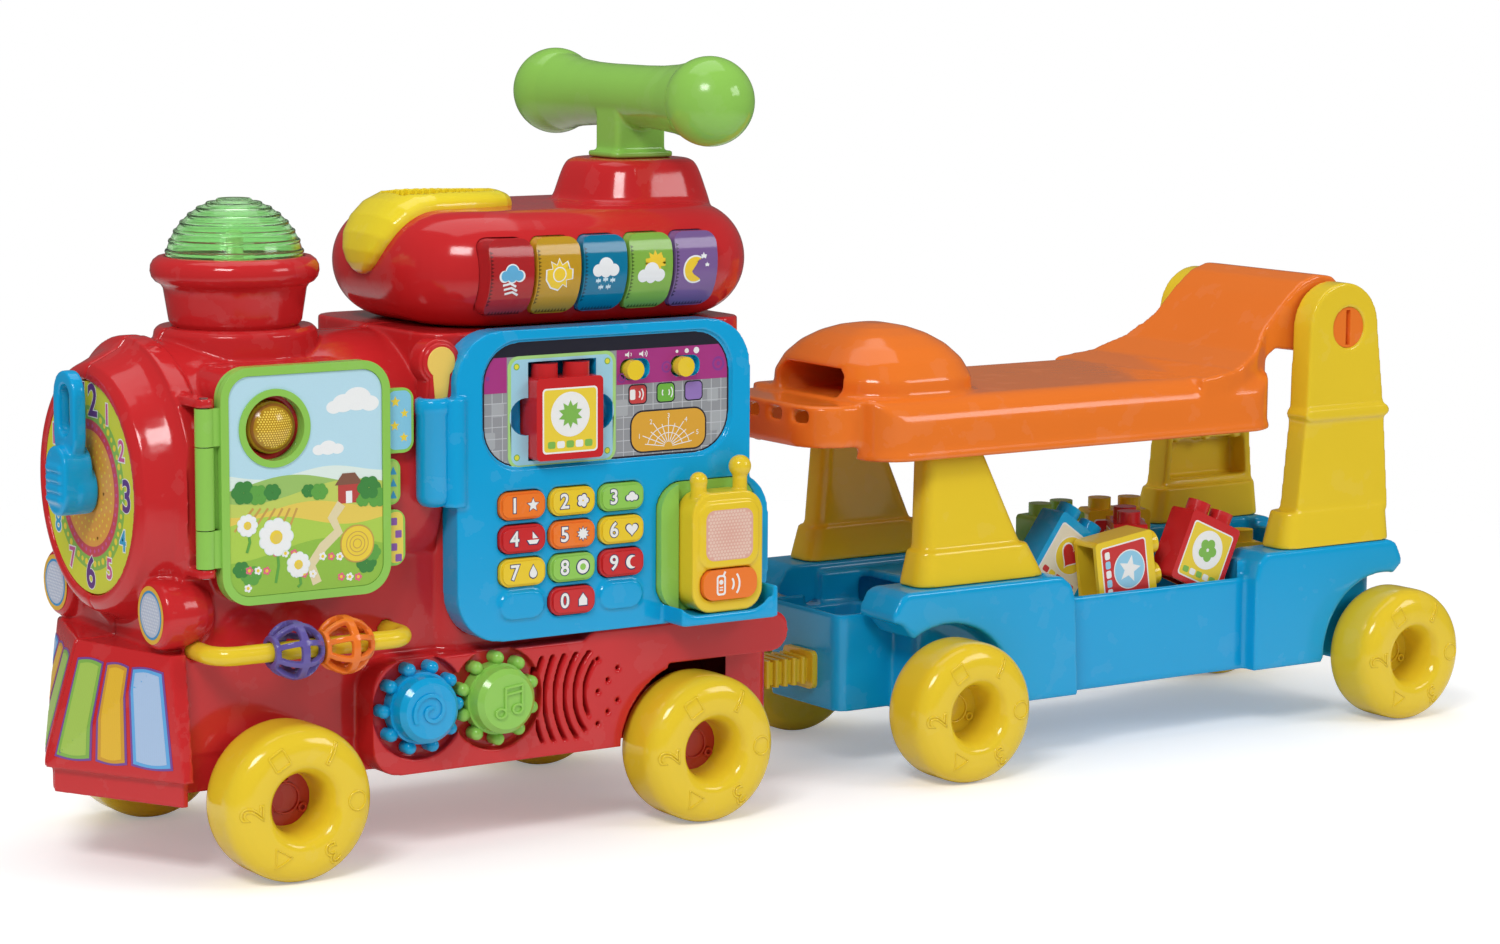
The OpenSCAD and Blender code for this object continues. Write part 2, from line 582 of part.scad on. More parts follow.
// Hollow bead with windows between its ribs
module bead(x) at_loco() translate([x, bead_y, bead_z]) difference() {
  intersection() {
    sphere(r = bead_r, $fn = 64);
    cube([2 * bead_r - 4, 60, 60], center = true);
  }
  difference() {
    sphere(r = bead_r - 3.5, $fn = 64);
    rotate([0, 90, 0]) cylinder(r = rod_r + 3, h = 60, center = true, $fn = 48);
  }
  rotate([0, 90, 0]) cylinder(r = rod_r + 0.4, h = 60, center = true, $fn = 48);
  for (a = [0 : 45 : 359], s = [-1, 1]) rotate([a, 0, 0])
    translate([s * 5.2 - 3.4, -3.2, bead_r - 8]) cube([6.8, 6.4, 12]);
}
module bead_front() color(purple) bead(2);
module bead_rear() color(orange) bead(2 + 2 * bead_r - 4 + 1.4);

// Knob gear with ten round teeth and a raised drum
module gear(x, turn) at_loco() translate([x, gear_y, gear_z]) rotate([0, turn, 0]) {
  rod_y(0, 0, 5, -2, 5);
  rod_y(0, 0, gear_tip - 3, -9, -0.6);
  turn_y(0, 0) polygon([[0, -4], [gear_tip - 4, -4], [gear_tip - 5, -17], [gear_tip - 8, -20], [0, -20]]);
  for (a = [0 : 36 : 359]) rotate([0, a, 0]) {
    rod_y(gear_tip, 0, 3.9, -7, -0.6);
    translate([gear_tip, -7, 0]) sphere(r = 3.9, $fn = 32);
    translate([gear_tip - 7, -7, -2.6]) cube([7, 6, 5.2]);
  }
}
module gear_front() color(blue) gear(gear_x, 0);
module gear_rear() color(green) gear(gear_x + gear_pitch, 18);

module base_plate() at_loco() color(red) difference() {
  union() {
    plan(base_z + 2, base_z + 5) rounded(wall - 57.6, wall - core_half_w + 0.4, cab_x1 - 1.4, core_half_w - wall - 0.4, 5.6);
    plan(base_z + 2, base_z + 5) rounded(cab_x1 - 30, -15, tow_x + 12, 15, 6);
    translate([tow_x, 0, base_z + 2]) cylinder(r = tow_r, h = 30, $fn = 48);
    for (x = [0, loco_wheelbase]) both_sides()
      translate([x - 9, -core_half_w + 2, wheel_r - 10]) cube([18, 26, base_z - wheel_r + 14]);
  }
  for (x = [0, loco_wheelbase]) rod_y(x, wheel_r, axle_r + run_gap, -100, 100);
  plan(base_z, base_z + 10) rounded(90 - 0.3, -38.3, 200.3, 38.3, 6);
}

module battery_door() at_loco() color([0.70, 0.06, 0.08]) {
  plan(base_z + 2, base_z + 5.2) rounded(90, -38, 200, 38, 5.8);
  plan(base_z + 5.1, base_z + 7) rounded(86, -34, 204, 34, 5);
}

module speaker() at_loco() color([0.15, 0.15, 0.16]) turn_y(speaker_x, 86.4)
  polygon([[0, 12.2 - pod_half_w], [23.5, 12.2 - pod_half_w], [23.5, 15 - pod_half_w], [18, 19 - pod_half_w],
    [12, 22 - pod_half_w], [12, 30 - pod_half_w], [0, 30 - pod_half_w]]);

module circuit_board() at_loco() color([0.10, 0.42, 0.20]) {
  side(6.2 - cab_half_w, 8 - cab_half_w) rounded(cab_x0 + 25, phone_z + 19, cab_back_x - 24, screen_z1 - 13, 4);
  for (x = [cab_x0 + 45, cab_back_x - 40], z = [phone_z + 34, screen_z1 - 28]) rod_y(x, z, 4, 5.1 - cab_half_w, 7 - cab_half_w);
  side(7.5 - cab_half_w, 12 - cab_half_w) rounded(cab_x0 + 95, boiler_z - 21, cab_x0 + 125, boiler_z + 9, 1);
}

// Wheel section as radius and distance along the axle
module wheel_section() difference() {
  union() {
    translate([0, wheel_in_y]) square([wheel_r - 10, wheel_w]);
    rounded(wheel_r - 25, wheel_in_y, wheel_r, track_w / 2 - sign_h, 11);
  }
  polygon([[0, track_w / 2 + 1], [22.4, track_w / 2 + 1], [22, track_w / 2 - 2], [19, track_w / 2 - 6],
    [17.6, track_w / 2 - 12], [17, wheel_in_y + 14], [0, wheel_in_y + 14]]);
  translate([0, wheel_in_y - 1]) square([axle_r + 0.02, 30]);
}
// Raised signs on the side of a wheel
module wheel_signs() {
  translate([34, 0]) difference() {
    circle(r = 5.6, $fn = 32);
    circle(r = 4, $fn = 32);
  }
  rotate(120) translate([34, 0]) difference() {
    square(10, center = true);
    square(7, center = true);
  }
  rotate(240) translate([33.4, 0]) difference() {
    circle(r = 6.6, $fn = 3);
    circle(r = 3.6, $fn = 3);
  }
}
module wheel_pair(x) color(yellow) both_sides() {
  turn_y(x, wheel_r) wheel_section();
  side(-track_w / 2, 6 - track_w / 2) translate([x, wheel_r]) wheel_signs();
}
module axle(x) color(steel) rod_y(x, wheel_r, axle_r, -wheel_in_y - 16, wheel_in_y + 16);

module loco_front_wheels() at_loco() wheel_pair(0);
module loco_front_axle() at_loco() axle(0);
module loco_rear_wheels() at_loco() wheel_pair(loco_wheelbase);
module loco_rear_axle() at_loco() axle(loco_wheelbase);
module wagon_front_wheels() at_wagon() wheel_pair(0);
module wagon_front_axle() at_wagon() axle(0);
module wagon_rear_wheels() at_wagon() wheel_pair(wagon_wheelbase);
module wagon_rear_axle() at_wagon() axle(wagon_wheelbase);

// Side shapes of the shoulders over the wheels
module front_shoulder() difference() {
  polygon([[-32, shoulder_z], [-38, shoulder_z - 3], [-44, shoulder_z - 13], [-44, shoulder_z - 18],
    [-36, shoulder_z - 21], [0, wheel_d - 30], [56, tub_z], [tub_x0 + 11, tub_z], [tub_x0 + 8, tub_rim_z],
    [tub_x0 + 4, shoulder_z - 6], [tub_x0 - 4, shoulder_z]]);
  translate([0, wheel_r]) circle(r = wheel_r + 8, $fn = 64);
}
module rear_shoulder() difference() {
  polygon([[rear_x0 + 4, tub_z], [rear_x0 + 4, tub_rim_z], [rear_x0 + 7, shoulder_z - 6], [rear_x0 + 14, shoulder_z],
    [wagon_wheelbase + 6, shoulder_z], [wagon_wheelbase + 12, shoulder_z - 3], [wagon_wheelbase + 17, shoulder_z - 13],
    [wagon_wheelbase + 17, shoulder_z - 18], [wagon_wheelbase + 10, shoulder_z - 24],
    [wagon_wheelbase - 30, shoulder_z - 40], [wagon_wheelbase - 56, tub_z]]);
  translate([wagon_wheelbase, wheel_r]) circle(r = wheel_r + 8, $fn = 64);
}

module tub() at_wagon() color(blue) difference() {
  union() {
    plan(tub_z, tub_rim_z) rounded(tub_x0 - 6, -tub_half_w, tub_x1 + 6, tub_half_w, 12);
    plan(tub_z, shoulder_z - 6) rounded(-12, 3 - core_half_w, wagon_wheelbase + 6, core_half_w - 3, 10);
    both_sides() side(-shoulder_y, -46) front_shoulder();
    both_sides() side(-shoulder_y, -46) rear_shoulder();
    plan(tub_z - 2, shoulder_z - 19) rounded(bin_x, -41, 20, 41, 8);
    for (x = [0, wagon_wheelbase]) both_sides()
      translate([x - 13, -core_half_w + 2, wheel_r - 11]) cube([26, 30, 40]);
  }
  plan(tub_z + tub_wall, shoulder_z + 10) rounded(tub_x0, tub_wall - tub_half_w, tub_x1, tub_half_w - tub_wall, 9);
  plan(tub_z + 24, shoulder_z + 10) rounded(tub_x1 - 30, 20 - core_half_w, wagon_wheelbase - 4, core_half_w - 20, 8);
  plan(bin_floor_z, shoulder_z + 10) rounded(bin_x + tub_wall, tub_wall - 41, 14, 41 - tub_wall, 5);
  plan(tub_z - 5, bin_floor_z - 3) rounded(bin_x + 3, 3 - 41, 14, 41 - 3, 5);
  plan(shoulder_z - 27, shoulder_z + 10) rounded(-30, 5 - 46, 24, 46 - 5, 6);
  plan(tub_z - 5, shoulder_z - 12) rounded(19, 12 - core_half_w, tub_x0 - 5, core_half_w - 12, 4);
  for (x = [0, wagon_wheelbase]) rod_y(x, wheel_r, axle_r + run_gap, -100, 100);
  translate([bin_x - 1, -9.1, hitch_z + 2.9]) cube([tub_wall + 2, 18.2, 9.2]);
}

module hitch() at_wagon() color(yellow) difference() {
  union() {
    plan(hitch_z, hitch_z + 15) rounded(tow_dx + 4, -11, bin_x - 0.1, 11, 2);
    for (i = [0 : 4]) plan(hitch_z - 1.5, hitch_z + 16.5)
      rounded(tow_dx + 16 + 7 * i, -13.5, tow_dx + 20 + 7 * i, 13.5, 1.9);
    plan(hitch_z, hitch_z + 15) translate([tow_dx, 0]) circle(r = 13, $fn = 48);
    translate([bin_x - 4, -9, hitch_z + 3]) cube([tub_wall + 6, 18, 9]);
    along(bin_x - 4, bin_x - 0.1) rounded(-17, hitch_z - 5, 17, hitch_z + 20, 4);
    along(bin_x + tub_wall + 0.1, bin_x + tub_wall + 3) rounded(-13, hitch_z, 13, hitch_z + 15, 2);
  }
  translate([tow_dx, 0, 0]) cylinder(r = tow_r + run_gap, h = 200, $fn = 48);
}

module front_posts() at_wagon() color(yellow) both_sides() {
  hull() {
    plan(shoulder_z + 0.1, shoulder_z + 1) rounded(-18, -shoulder_y + 7, tub_x0 - 10, -47, 11);
    plan(shoulder_z + 20, shoulder_z + 23) rounded(-13, -shoulder_y + 10, tub_x0 - 22, -48.5, 10);
  }
  hull() {
    plan(shoulder_z + 22, shoulder_z + 23) rounded(-10, -shoulder_y + 13, tub_x0 - 26, -50, 9);
    plan(seat_rim_z - 3, seat_rim_z - 2) rounded(-6, -seat_half_w + 12, tub_x0 - 55, -48, 7);
  }
  plan(seat_rim_z - 4, seat_under - 0.2) rounded(-5, -seat_half_w + 13, tub_x0 - 56, -49, 6);
}

// Side shape of a rear post's shaft
module rear_post_shape() {
  translate([seat_pin_x - 4, seat_pin_z]) circle(r = 31, $fn = 64);
  polygon([[rear_x0 + 43, shoulder_z + 22], [rear_x0 + 50, seat_pin_z - 60], [seat_pin_x - 35, seat_pin_z],
    [seat_pin_x + 27, seat_pin_z], [seat_pin_x + 35, seat_pin_z - 60], [seat_pin_x + 41, shoulder_z + 22]]);
}

module rear_posts() at_wagon() color(yellow) both_sides() difference() {
  union() {
    hull() {
      plan(shoulder_z + 0.1, shoulder_z + 1)
        rounded(rear_x0 + 30, -shoulder_y + 1, wagon_wheelbase + 9, -post_y + 8, 10);
      plan(shoulder_z + 22, shoulder_z + 25)
        rounded(rear_x0 + 36, -shoulder_y + 3, wagon_wheelbase + 7, -post_y + 6, 9);
    }
    side(-post_y - 19, -post_y) rear_post_shape();
    side(-post_y - 21.5, -post_y) rounded(rear_x0 + 47.5, seat_pin_z - 63, seat_pin_x + 38, seat_pin_z - 55, 3.9);
  }
  rod_y(seat_pin_x, seat_pin_z, 14.1, -150, -post_y - 9);
  rod_y(seat_pin_x, seat_pin_z, 9.02, -150, 0);
  difference() {
    side(-post_y - 15, -post_y + 20) polygon([[rear_x0 + 50, shoulder_z + 30], [rear_x0 + 56, seat_pin_z - 50],
      [seat_pin_x + 28, seat_pin_z - 50], [seat_pin_x + 34, shoulder_z + 30]]);
    side(-post_y - 16, -post_y - 4) {
      rounded(rear_x0 + 44, seat_pin_z - 93, seat_pin_x + 38, seat_pin_z - 90, 1.4);
      for (s = [-1, 1]) translate([rear_x0 + 86, seat_pin_z - 91]) rotate(s * 40) translate([-1.3, 0]) square([2.6, 44]);
    }
    for (x = [58, 86, 114]) rod_y(rear_x0 + x, seat_pin_z - 91, 4, -post_y - 16, -post_y - 2);
  }
}

module seat_pins() at_wagon() color(orange) both_sides() difference() {
  union() {
    rod_y(seat_pin_x, seat_pin_z, 14, -post_y - 17.5, -post_y - 9.1);
    rod_y(seat_pin_x, seat_pin_z, 9, -post_y - 12, -post_y + 14);
  }
  translate([seat_pin_x - 2, -post_y - 20, seat_pin_z - 12]) cube([4, 6, 24]);
}

// Side shape of the raised seat back
module seat_back_shape(inset) {
  polygon([[rear_x0 - 44, seat_rim_z + inset], [rear_x0 - 44, seat_top_z - inset],
    [rear_x0 - 12, seat_top_z + 4 - inset], [rear_x0 + 12, seat_top_z + 14 - inset],
    [rear_x0 + 32, seat_top_z + 32 - inset], [rear_x0 + 48, seat_top_z + 48 - inset],
    [rear_x0 + 62, seat_top_z + 59 - inset], [rear_x0 + 76, seat_top_z + 63.6 - inset],
    [rear_x0 + 90 - inset, seat_top_z + 62 - inset], [rear_x0 + 102 - inset, seat_top_z + 52 - inset],
    [seat_pin_x + 22 - inset, seat_pin_z + 8], [seat_pin_x + 21 - inset, seat_pin_z - 12 + inset],
    [seat_pin_x - 12, seat_pin_z - 19 + inset], [rear_x0 + 40, seat_pin_z - 14 + inset],
    [rear_x0 + 31 - inset, seat_pin_z - 20], [rear_x0 + 28 - inset, seat_rim_z + inset]]);
}

// Plan of the seat back, which narrows to pass between the posts
module seat_back_plan(inset) {
  far = rear_x0 + 130;
  polygon([[rear_x0 - 50, inset - seat_half_w], [rear_x0 - 22, inset - seat_half_w + 1],
    [rear_x0 - 4, inset - seat_half_w + 4], [rear_x0 + 12, inset - seat_half_w + 10],
    [rear_x0 + 30, inset - back_half_w], [far, inset - back_half_w], [far, back_half_w - inset],
    [rear_x0 + 30, back_half_w - inset], [rear_x0 + 12, seat_half_w - 10 - inset],
    [rear_x0 - 4, seat_half_w - 4 - inset], [rear_x0 - 22, seat_half_w - 1 - inset],
    [rear_x0 - 50, seat_half_w - inset]]);
}

// One level of the rounded hump at the front of the seat
module hump_level(rise) {
  k = sqrt(1 - pow(rise / 43, 2));
  plan(seat_top_z + rise - 0.4, seat_top_z + rise) rounded(-2 - 54 * k, -66 * k, -2 + 54 * k, 66 * k, 40 * k);
}

module seat() at_wagon() color(orange) difference() {
  union() {
    intersection() {
      plan(seat_rim_z, seat_top_z + 5) rounded(bin_x + 2, -seat_half_w, rear_x0 + 28, seat_half_w, 26);
      along(bin_x - 10, rear_x0 + 50) rounded(-seat_half_w, seat_rim_z - 30, seat_half_w, seat_top_z, 18);
    }
    plan(seat_rim_z, seat_rim_z + 4) rounded(bin_x + 1, -seat_half_w - 1.5, rear_x0 + 29, seat_half_w + 1.5, 27);
    hull() for (rise = [-8, 10, 21, 30, 36.5, 40.5, 42.6]) hump_level(rise);
    plan(seat_rim_z + 9, seat_top_z - 3) rounded(bin_x - 33, -60, 20, 60, 26);
    intersection() {
      side(-seat_half_w, seat_half_w) seat_back_shape(0);
      plan(seat_rim_z - 5, seat_top_z + 90) seat_back_plan(0);
    }
    both_sides() rod_y(seat_pin_x, seat_pin_z, 16, -back_half_w, -back_half_w + 20);
  }
  plan(seat_rim_z - 5, seat_under) rounded(bin_x + 7, 5 - seat_half_w, rear_x0 + 23, seat_half_w - 5, 22);
  plan(seat_rim_z - 5, seat_top_z - 8) rounded(bin_x - 28, -55, 10, 55, 20);
  along(bin_x - 60, 14) rounded(-36, seat_top_z - 1, 36, seat_top_z + 17, 8);
  for (i = [-1.5 : 1.5]) translate([bin_x - 40, 26 * i - 7, seat_top_z - 14]) cube([20, 14, 8]);
  intersection() {
    side(6 - back_half_w, back_half_w - 6) seat_back_shape(6);
    plan(seat_rim_z - 5, seat_top_z + 90) seat_back_plan(6);
  }
  both_sides() rod_y(seat_pin_x, seat_pin_z, 9 + run_gap, -150, -back_half_w + 15);
}

// A loose block turned about its middle
module loose(x, y, z, turn, c) color(c) translate([x, y, z]) rotate(turn) translate([0, 0, -block_h / 2]) block();

module letter_blocks() at_wagon() {
  floor_z = tub_z + tub_wall + 0.1;
  step_z = block_d + 0.6;
  lie_z = floor_z + block_d / 2;
  top_z = floor_z + 2 * step_z;
  room = tub_x1 - tub_x0;
  row = floor(room / (block_w + 4));
  for (i = [0, 1], k = [0 : row - 1]) translate([tub_x0 + 26 + k * (block_w + 4), 0, lie_z + i * step_z]) {
    loose(0, -40, 0, [-90, 0, 0], i == 0 ? yellow : red);
    if (k > 0) loose(0, 37, 0, [90, 0, 0], i == 0 ? green : blue);
  }
  loose(tub_x0 + 0.4 * room, -54, top_z + 25.25, [0, 82, 0], yellow);
  loose(tub_x0 + 0.8242 * room, -54, top_z + 30.25, [0, 24, 0], red);
  loose(tub_x0 + 0.2242 * room, -28, top_z + 31.6, [0, 36, 0], blue);
  loose(tub_x0 + 0.6545 * room, -14, top_z + block_h / 2, [0, 0, 58], red);
  loose(tub_x0 + 0.5091 * room, 40, top_z + block_h / 2, [0, 0, 10], green);
  loose(tub_x0 + 0.8303 * room, 35, top_z + block_h / 2, [0, 0, -20], yellow);
  loose(rear_x0 + 60, 10, tub_z + 24.1 + block_h / 2, [0, 0, -16], yellow);
}

shell_left();
shell_right();
roof_cover();
chimney();
dome_lens();
dome_lamp();
carry_handle();
push_handle();
clock_dial();
clock_hand();
page_pin();
page_front();
page_back();
light_button();
key_1();
key_2();
key_3();
key_4();
key_5();
phone_panel();
button_0();
button_1();
button_2();
button_3();
button_4();
button_5();
button_6();
button_7();
button_8();
button_9();
volume_switch();
mode_switch();
tray_block();
handset_cradle();
handset();
handset_button();
bead_rod();
bead_front();
bead_rear();
gear_front();
gear_rear();
base_plate();
battery_door();
speaker();
circuit_board();
loco_front_wheels();
loco_front_axle();
loco_rear_wheels();
loco_rear_axle();
tub();
hitch();
front_posts();
rear_posts();
seat();
seat_pins();
letter_blocks();
wagon_front_wheels();
wagon_front_axle();
wagon_rear_wheels();
wagon_rear_axle();
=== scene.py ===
"""Looks of a ride-on train: plastics, prints, small moulded detail, stage and camera."""
import math
import bmesh
import bpy
from bpy.props import FloatProperty, FloatVectorProperty, PointerProperty
from mathutils import Euler, Matrix, Vector
from mathutils.bvhtree import BVHTree


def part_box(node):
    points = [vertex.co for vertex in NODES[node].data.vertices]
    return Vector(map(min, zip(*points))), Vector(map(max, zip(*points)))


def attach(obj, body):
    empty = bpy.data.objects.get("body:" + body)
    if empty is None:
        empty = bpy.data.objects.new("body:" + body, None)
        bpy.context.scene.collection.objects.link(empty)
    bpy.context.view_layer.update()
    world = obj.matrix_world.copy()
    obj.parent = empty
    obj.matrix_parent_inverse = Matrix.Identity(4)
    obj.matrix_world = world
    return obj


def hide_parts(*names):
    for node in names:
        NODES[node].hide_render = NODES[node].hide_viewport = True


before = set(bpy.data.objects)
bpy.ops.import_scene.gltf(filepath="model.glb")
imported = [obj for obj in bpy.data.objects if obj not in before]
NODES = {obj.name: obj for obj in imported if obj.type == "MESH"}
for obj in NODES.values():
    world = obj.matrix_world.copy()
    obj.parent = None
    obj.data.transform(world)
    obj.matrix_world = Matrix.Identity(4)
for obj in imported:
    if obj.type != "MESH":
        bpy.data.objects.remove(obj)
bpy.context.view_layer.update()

bl_info = {
    "name": "Ride-on train looks",
    "version": (1, 0, 0),
    "blender": (4, 5, 0),
    "location": "View3D > Sidebar > Train",
    "description": "Dresses the packed train with plastics, prints and moulded detail",
    "category": "Object",
}

MM = 0.001
LOCO_X = -400.0
WAGON_X = 82.0
NOSE = 108.0
HEADLIGHT_X, HEADLIGHT_Y, HEADLIGHT_Z, HEADLIGHT_R = 70.0, 66.0, 155.5, 17.0
PANEL_Y = -97.0
SWITCH_X = (233.0, 269.0)
PHONE_X, PHONE_Z = 289.0, 131.0


def colour_prop(label, value):
    return FloatVectorProperty(name=label, description="Colour of the " + label.lower(), subtype="COLOR",
                               size=3, min=0.0, max=1.0, default=value)


def length_prop(label, note, value_mm):
    return FloatProperty(name=label, description=note, unit="LENGTH", subtype="DISTANCE",
                         min=0.0, default=value_mm * MM)


class TrainColours(bpy.types.PropertyGroup):
    """Colours of the plastics and inks."""
    red: colour_prop("Red body plastic", (0.60, 0.022, 0.025))
    yellow: colour_prop("Yellow plastic", (0.84, 0.60, 0.028))
    blue: colour_prop("Blue plastic", (0.004, 0.37, 0.72))
    green: colour_prop("Green plastic", (0.29, 0.60, 0.10))
    orange: colour_prop("Orange seat plastic", (0.88, 0.20, 0.022))
    purple: colour_prop("Purple plastic", (0.13, 0.10, 0.36))
    steel: colour_prop("Axle steel", (0.56, 0.57, 0.58))


class TrainSizes(bpy.types.PropertyGroup):
    """Sizes of the added detail."""
    soft_edge: length_prop("Soft edge", "Rounding of the big mouldings", 3.0)
    fine_edge: length_prop("Fine edge", "Rounding of the small mouldings", 0.8)


class TrainStage(bpy.types.PropertyGroup):
    """Floor and light."""
    floor: length_prop("Floor size", "Width of the pale floor", 9000.0)
    key: FloatProperty(name="Key light", description="Power of the large key light", unit="POWER",
                       default=58.0)
    fill: FloatProperty(name="Fill light", description="Power of the fill light", unit="POWER",
                        default=22.0)
    sky: FloatProperty(name="Sky light", description="Strength of the even light all round", default=0.46)
    mirror: FloatProperty(name="Mirrored sky", description="Strength of the even light in reflections",
                          default=0.12)


def settings():
    return bpy.context.scene


def ink(name):
    return tuple(getattr(settings().train_colours, name))


# Node groups that several materials share


def group_new(name, inputs, outputs):
    group = bpy.data.node_groups.new(name, "ShaderNodeTree")
    for label, kind, value in inputs:
        socket = group.interface.new_socket(label, in_out="INPUT", socket_type="NodeSocket" + kind)
        socket.default_value = value
    for label, kind in outputs:
        group.interface.new_socket(label, in_out="OUTPUT", socket_type="NodeSocket" + kind)
    return group, group.nodes.new("NodeGroupInput"), group.nodes.new("NodeGroupOutput")


def wire(tree, *pairs):
    for source, target in pairs:
        tree.links.new(source, target)


def math_node(tree, operation, a, b=None, c=None):
    node = tree.nodes.new("ShaderNodeMath")
    node.operation = operation
    for socket, value in zip(node.inputs, (a, b, c)):
        if value is None:
            continue
        if isinstance(value, (int, float)):
            socket.default_value = value
        else:
            tree.links.new(value, socket)
    return node.outputs[0]


def noise_node(tree, vector, scale, detail=2.0):
    node = tree.nodes.new("ShaderNodeTexNoise")
    node.inputs["Detail"].default_value = detail
    if isinstance(scale, (int, float)):
        node.inputs["Scale"].default_value = scale
    else:
        tree.links.new(scale, node.inputs["Scale"])
    tree.links.new(vector, node.inputs["Vector"])
    return node.outputs["Fac"]


def mix_colour(tree, factor, a, b, blend="MIX"):
    node = tree.nodes.new("ShaderNodeMix")
    node.data_type = "RGBA"
    node.blend_type = blend
    for socket, value in ((node.inputs["Factor"], factor), (node.inputs[6], a), (node.inputs[7], b)):
        if isinstance(value, bpy.types.NodeSocket):
            tree.links.new(value, socket)
        elif isinstance(value, (int, float)):
            socket.default_value = value
        else:
            socket.default_value = (*value, 1.0)[:4]
    return node.outputs[2]


def moulded_skin():
    """Cloudy colour, uneven gloss and the faint ripple of an injection moulding."""
    if "Moulded Skin" in bpy.data.node_groups:
        return bpy.data.node_groups["Moulded Skin"]
    group, start, end = group_new(
        "Moulded Skin",
        [("Colour", "Color", (1, 1, 1, 1)), ("Gloss", "Float", 0.2), ("Ripple", "Float", 1.0),
         ("Handling", "Float", 0.3)],
        [("Colour", "Color"), ("Roughness", "Float"), ("Height", "Float")])
    place = group.nodes.new("ShaderNodeTexCoord").outputs["Object"]
    cloud = noise_node(group, place, 14.0, 3.0)
    ripple = noise_node(group, place, 150.0, 1.0)
    grain = noise_node(group, place, 1400.0, 2.0)
    smear = noise_node(group, place, 42.0, 6.0)
    deep = mix_colour(group, 1.0, start.outputs["Colour"], (0.86, 0.86, 0.86), "MULTIPLY")
    tinted = mix_colour(group, math_node(group, "MULTIPLY", cloud, 0.5), start.outputs["Colour"], deep)
    mark = math_node(group, "MULTIPLY",
                     math_node(group, "SMOOTH_MIN", math_node(group, "GREATER_THAN", smear, 0.6), smear,
                               0.3),
                     start.outputs["Handling"])
    pale = mix_colour(group, math_node(group, "MULTIPLY", mark, 0.10), tinted, (0.9, 0.88, 0.85))
    rough = math_node(group, "ADD", start.outputs["Gloss"],
                      math_node(group, "MULTIPLY_ADD", smear, 0.14,
                                math_node(group, "MULTIPLY", mark, 0.10)))
    rough = math_node(group, "SUBTRACT", rough, 0.07)
    height = math_node(group, "MULTIPLY_ADD", grain, 0.12,
                       math_node(group, "MULTIPLY", ripple, start.outputs["Ripple"]))
    wire(group, (pale, end.inputs["Colour"]), (rough, end.inputs["Roughness"]),
         (height, end.inputs["Height"]))
    return group


def printed_dots():
    """Fine halftone and fibre of a printed sticker."""
    if "Printed Ink" in bpy.data.node_groups:
        return bpy.data.node_groups["Printed Ink"]
    group, start, end = group_new(
        "Printed Ink",
        [("Colour", "Color", (1, 1, 1, 1)), ("Gloss", "Float", 0.3)],
        [("Colour", "Color"), ("Roughness", "Float"), ("Height", "Float")])
    place = group.nodes.new("ShaderNodeTexCoord").outputs["Object"]
    dots = group.nodes.new("ShaderNodeTexVoronoi")
    dots.inputs["Scale"].default_value = 1500.0
    dots.inputs["Randomness"].default_value = 0.25
    wire(group, (place, dots.inputs["Vector"]))
    fibre = noise_node(group, place, 300.0, 3.0)
    light = mix_colour(group, 1.0, start.outputs["Colour"], (0.90, 0.90, 0.90), "MULTIPLY")
    mixed = mix_colour(group, dots.outputs["Distance"], start.outputs["Colour"], light)
    rough = math_node(group, "MULTIPLY_ADD", fibre, 0.12, start.outputs["Gloss"])
    wire(group, (mixed, end.inputs["Colour"]), (rough, end.inputs["Roughness"]),
         (fibre, end.inputs["Height"]))
    return group


def material(name, colour, group, values, bump=0.02, bump_mm=0.2, **shader):
    """One material: a shared group feeds the shader, constants sit on the shader's own sockets."""
    if name in bpy.data.materials:
        return bpy.data.materials[name]
    mat = bpy.data.materials.new(name)
    mat.use_nodes = True
    mat.diffuse_color = (*colour, 1.0)
    tree = mat.node_tree
    principled = tree.nodes["Principled BSDF"]
    skin = tree.nodes.new("ShaderNodeGroup")
    skin.node_tree = group
    skin.inputs["Colour"].default_value = (*colour, 1.0)
    for label, value in values.items():
        skin.inputs[label].default_value = value
    relief = tree.nodes.new("ShaderNodeBump")
    relief.inputs["Strength"].default_value = bump
    relief.inputs["Distance"].default_value = bump_mm * MM
    wire(tree, (skin.outputs["Colour"], principled.inputs["Base Color"]),
         (skin.outputs["Roughness"], principled.inputs["Roughness"]),
         (skin.outputs["Height"], relief.inputs["Height"]),
         (relief.outputs["Normal"], principled.inputs["Normal"]))
    for label, value in shader.items():
        principled.inputs[label.replace("_", " ")].default_value = value
    return mat


def plastic(name, colour, gloss=0.13, ripple=1.0, handling=0.25):
    return material("moulded_" + name, colour, moulded_skin(),
                    {"Gloss": gloss, "Ripple": ripple, "Handling": handling}, bump=0.06, bump_mm=0.2,
                    Specular_IOR_Level=0.45)


def clear_plastic(name, colour, weight=0.75, gloss=0.10):
    return material(name, colour, moulded_skin(), {"Gloss": gloss, "Ripple": 0.6, "Handling": 0.1},
                    bump=0.05, bump_mm=0.2, Transmission_Weight=weight, IOR=1.45)


def printed(name, colour, gloss=0.28):
    return material("ink_" + name, colour, printed_dots(), {"Gloss": gloss}, bump=0.04, bump_mm=0.05)


def steel():
    return material("axle_steel", ink("steel"), moulded_skin(),
                    {"Gloss": 0.34, "Ripple": 0.2, "Handling": 0.5},
                    bump=0.05, bump_mm=0.1, Metallic=1.0)


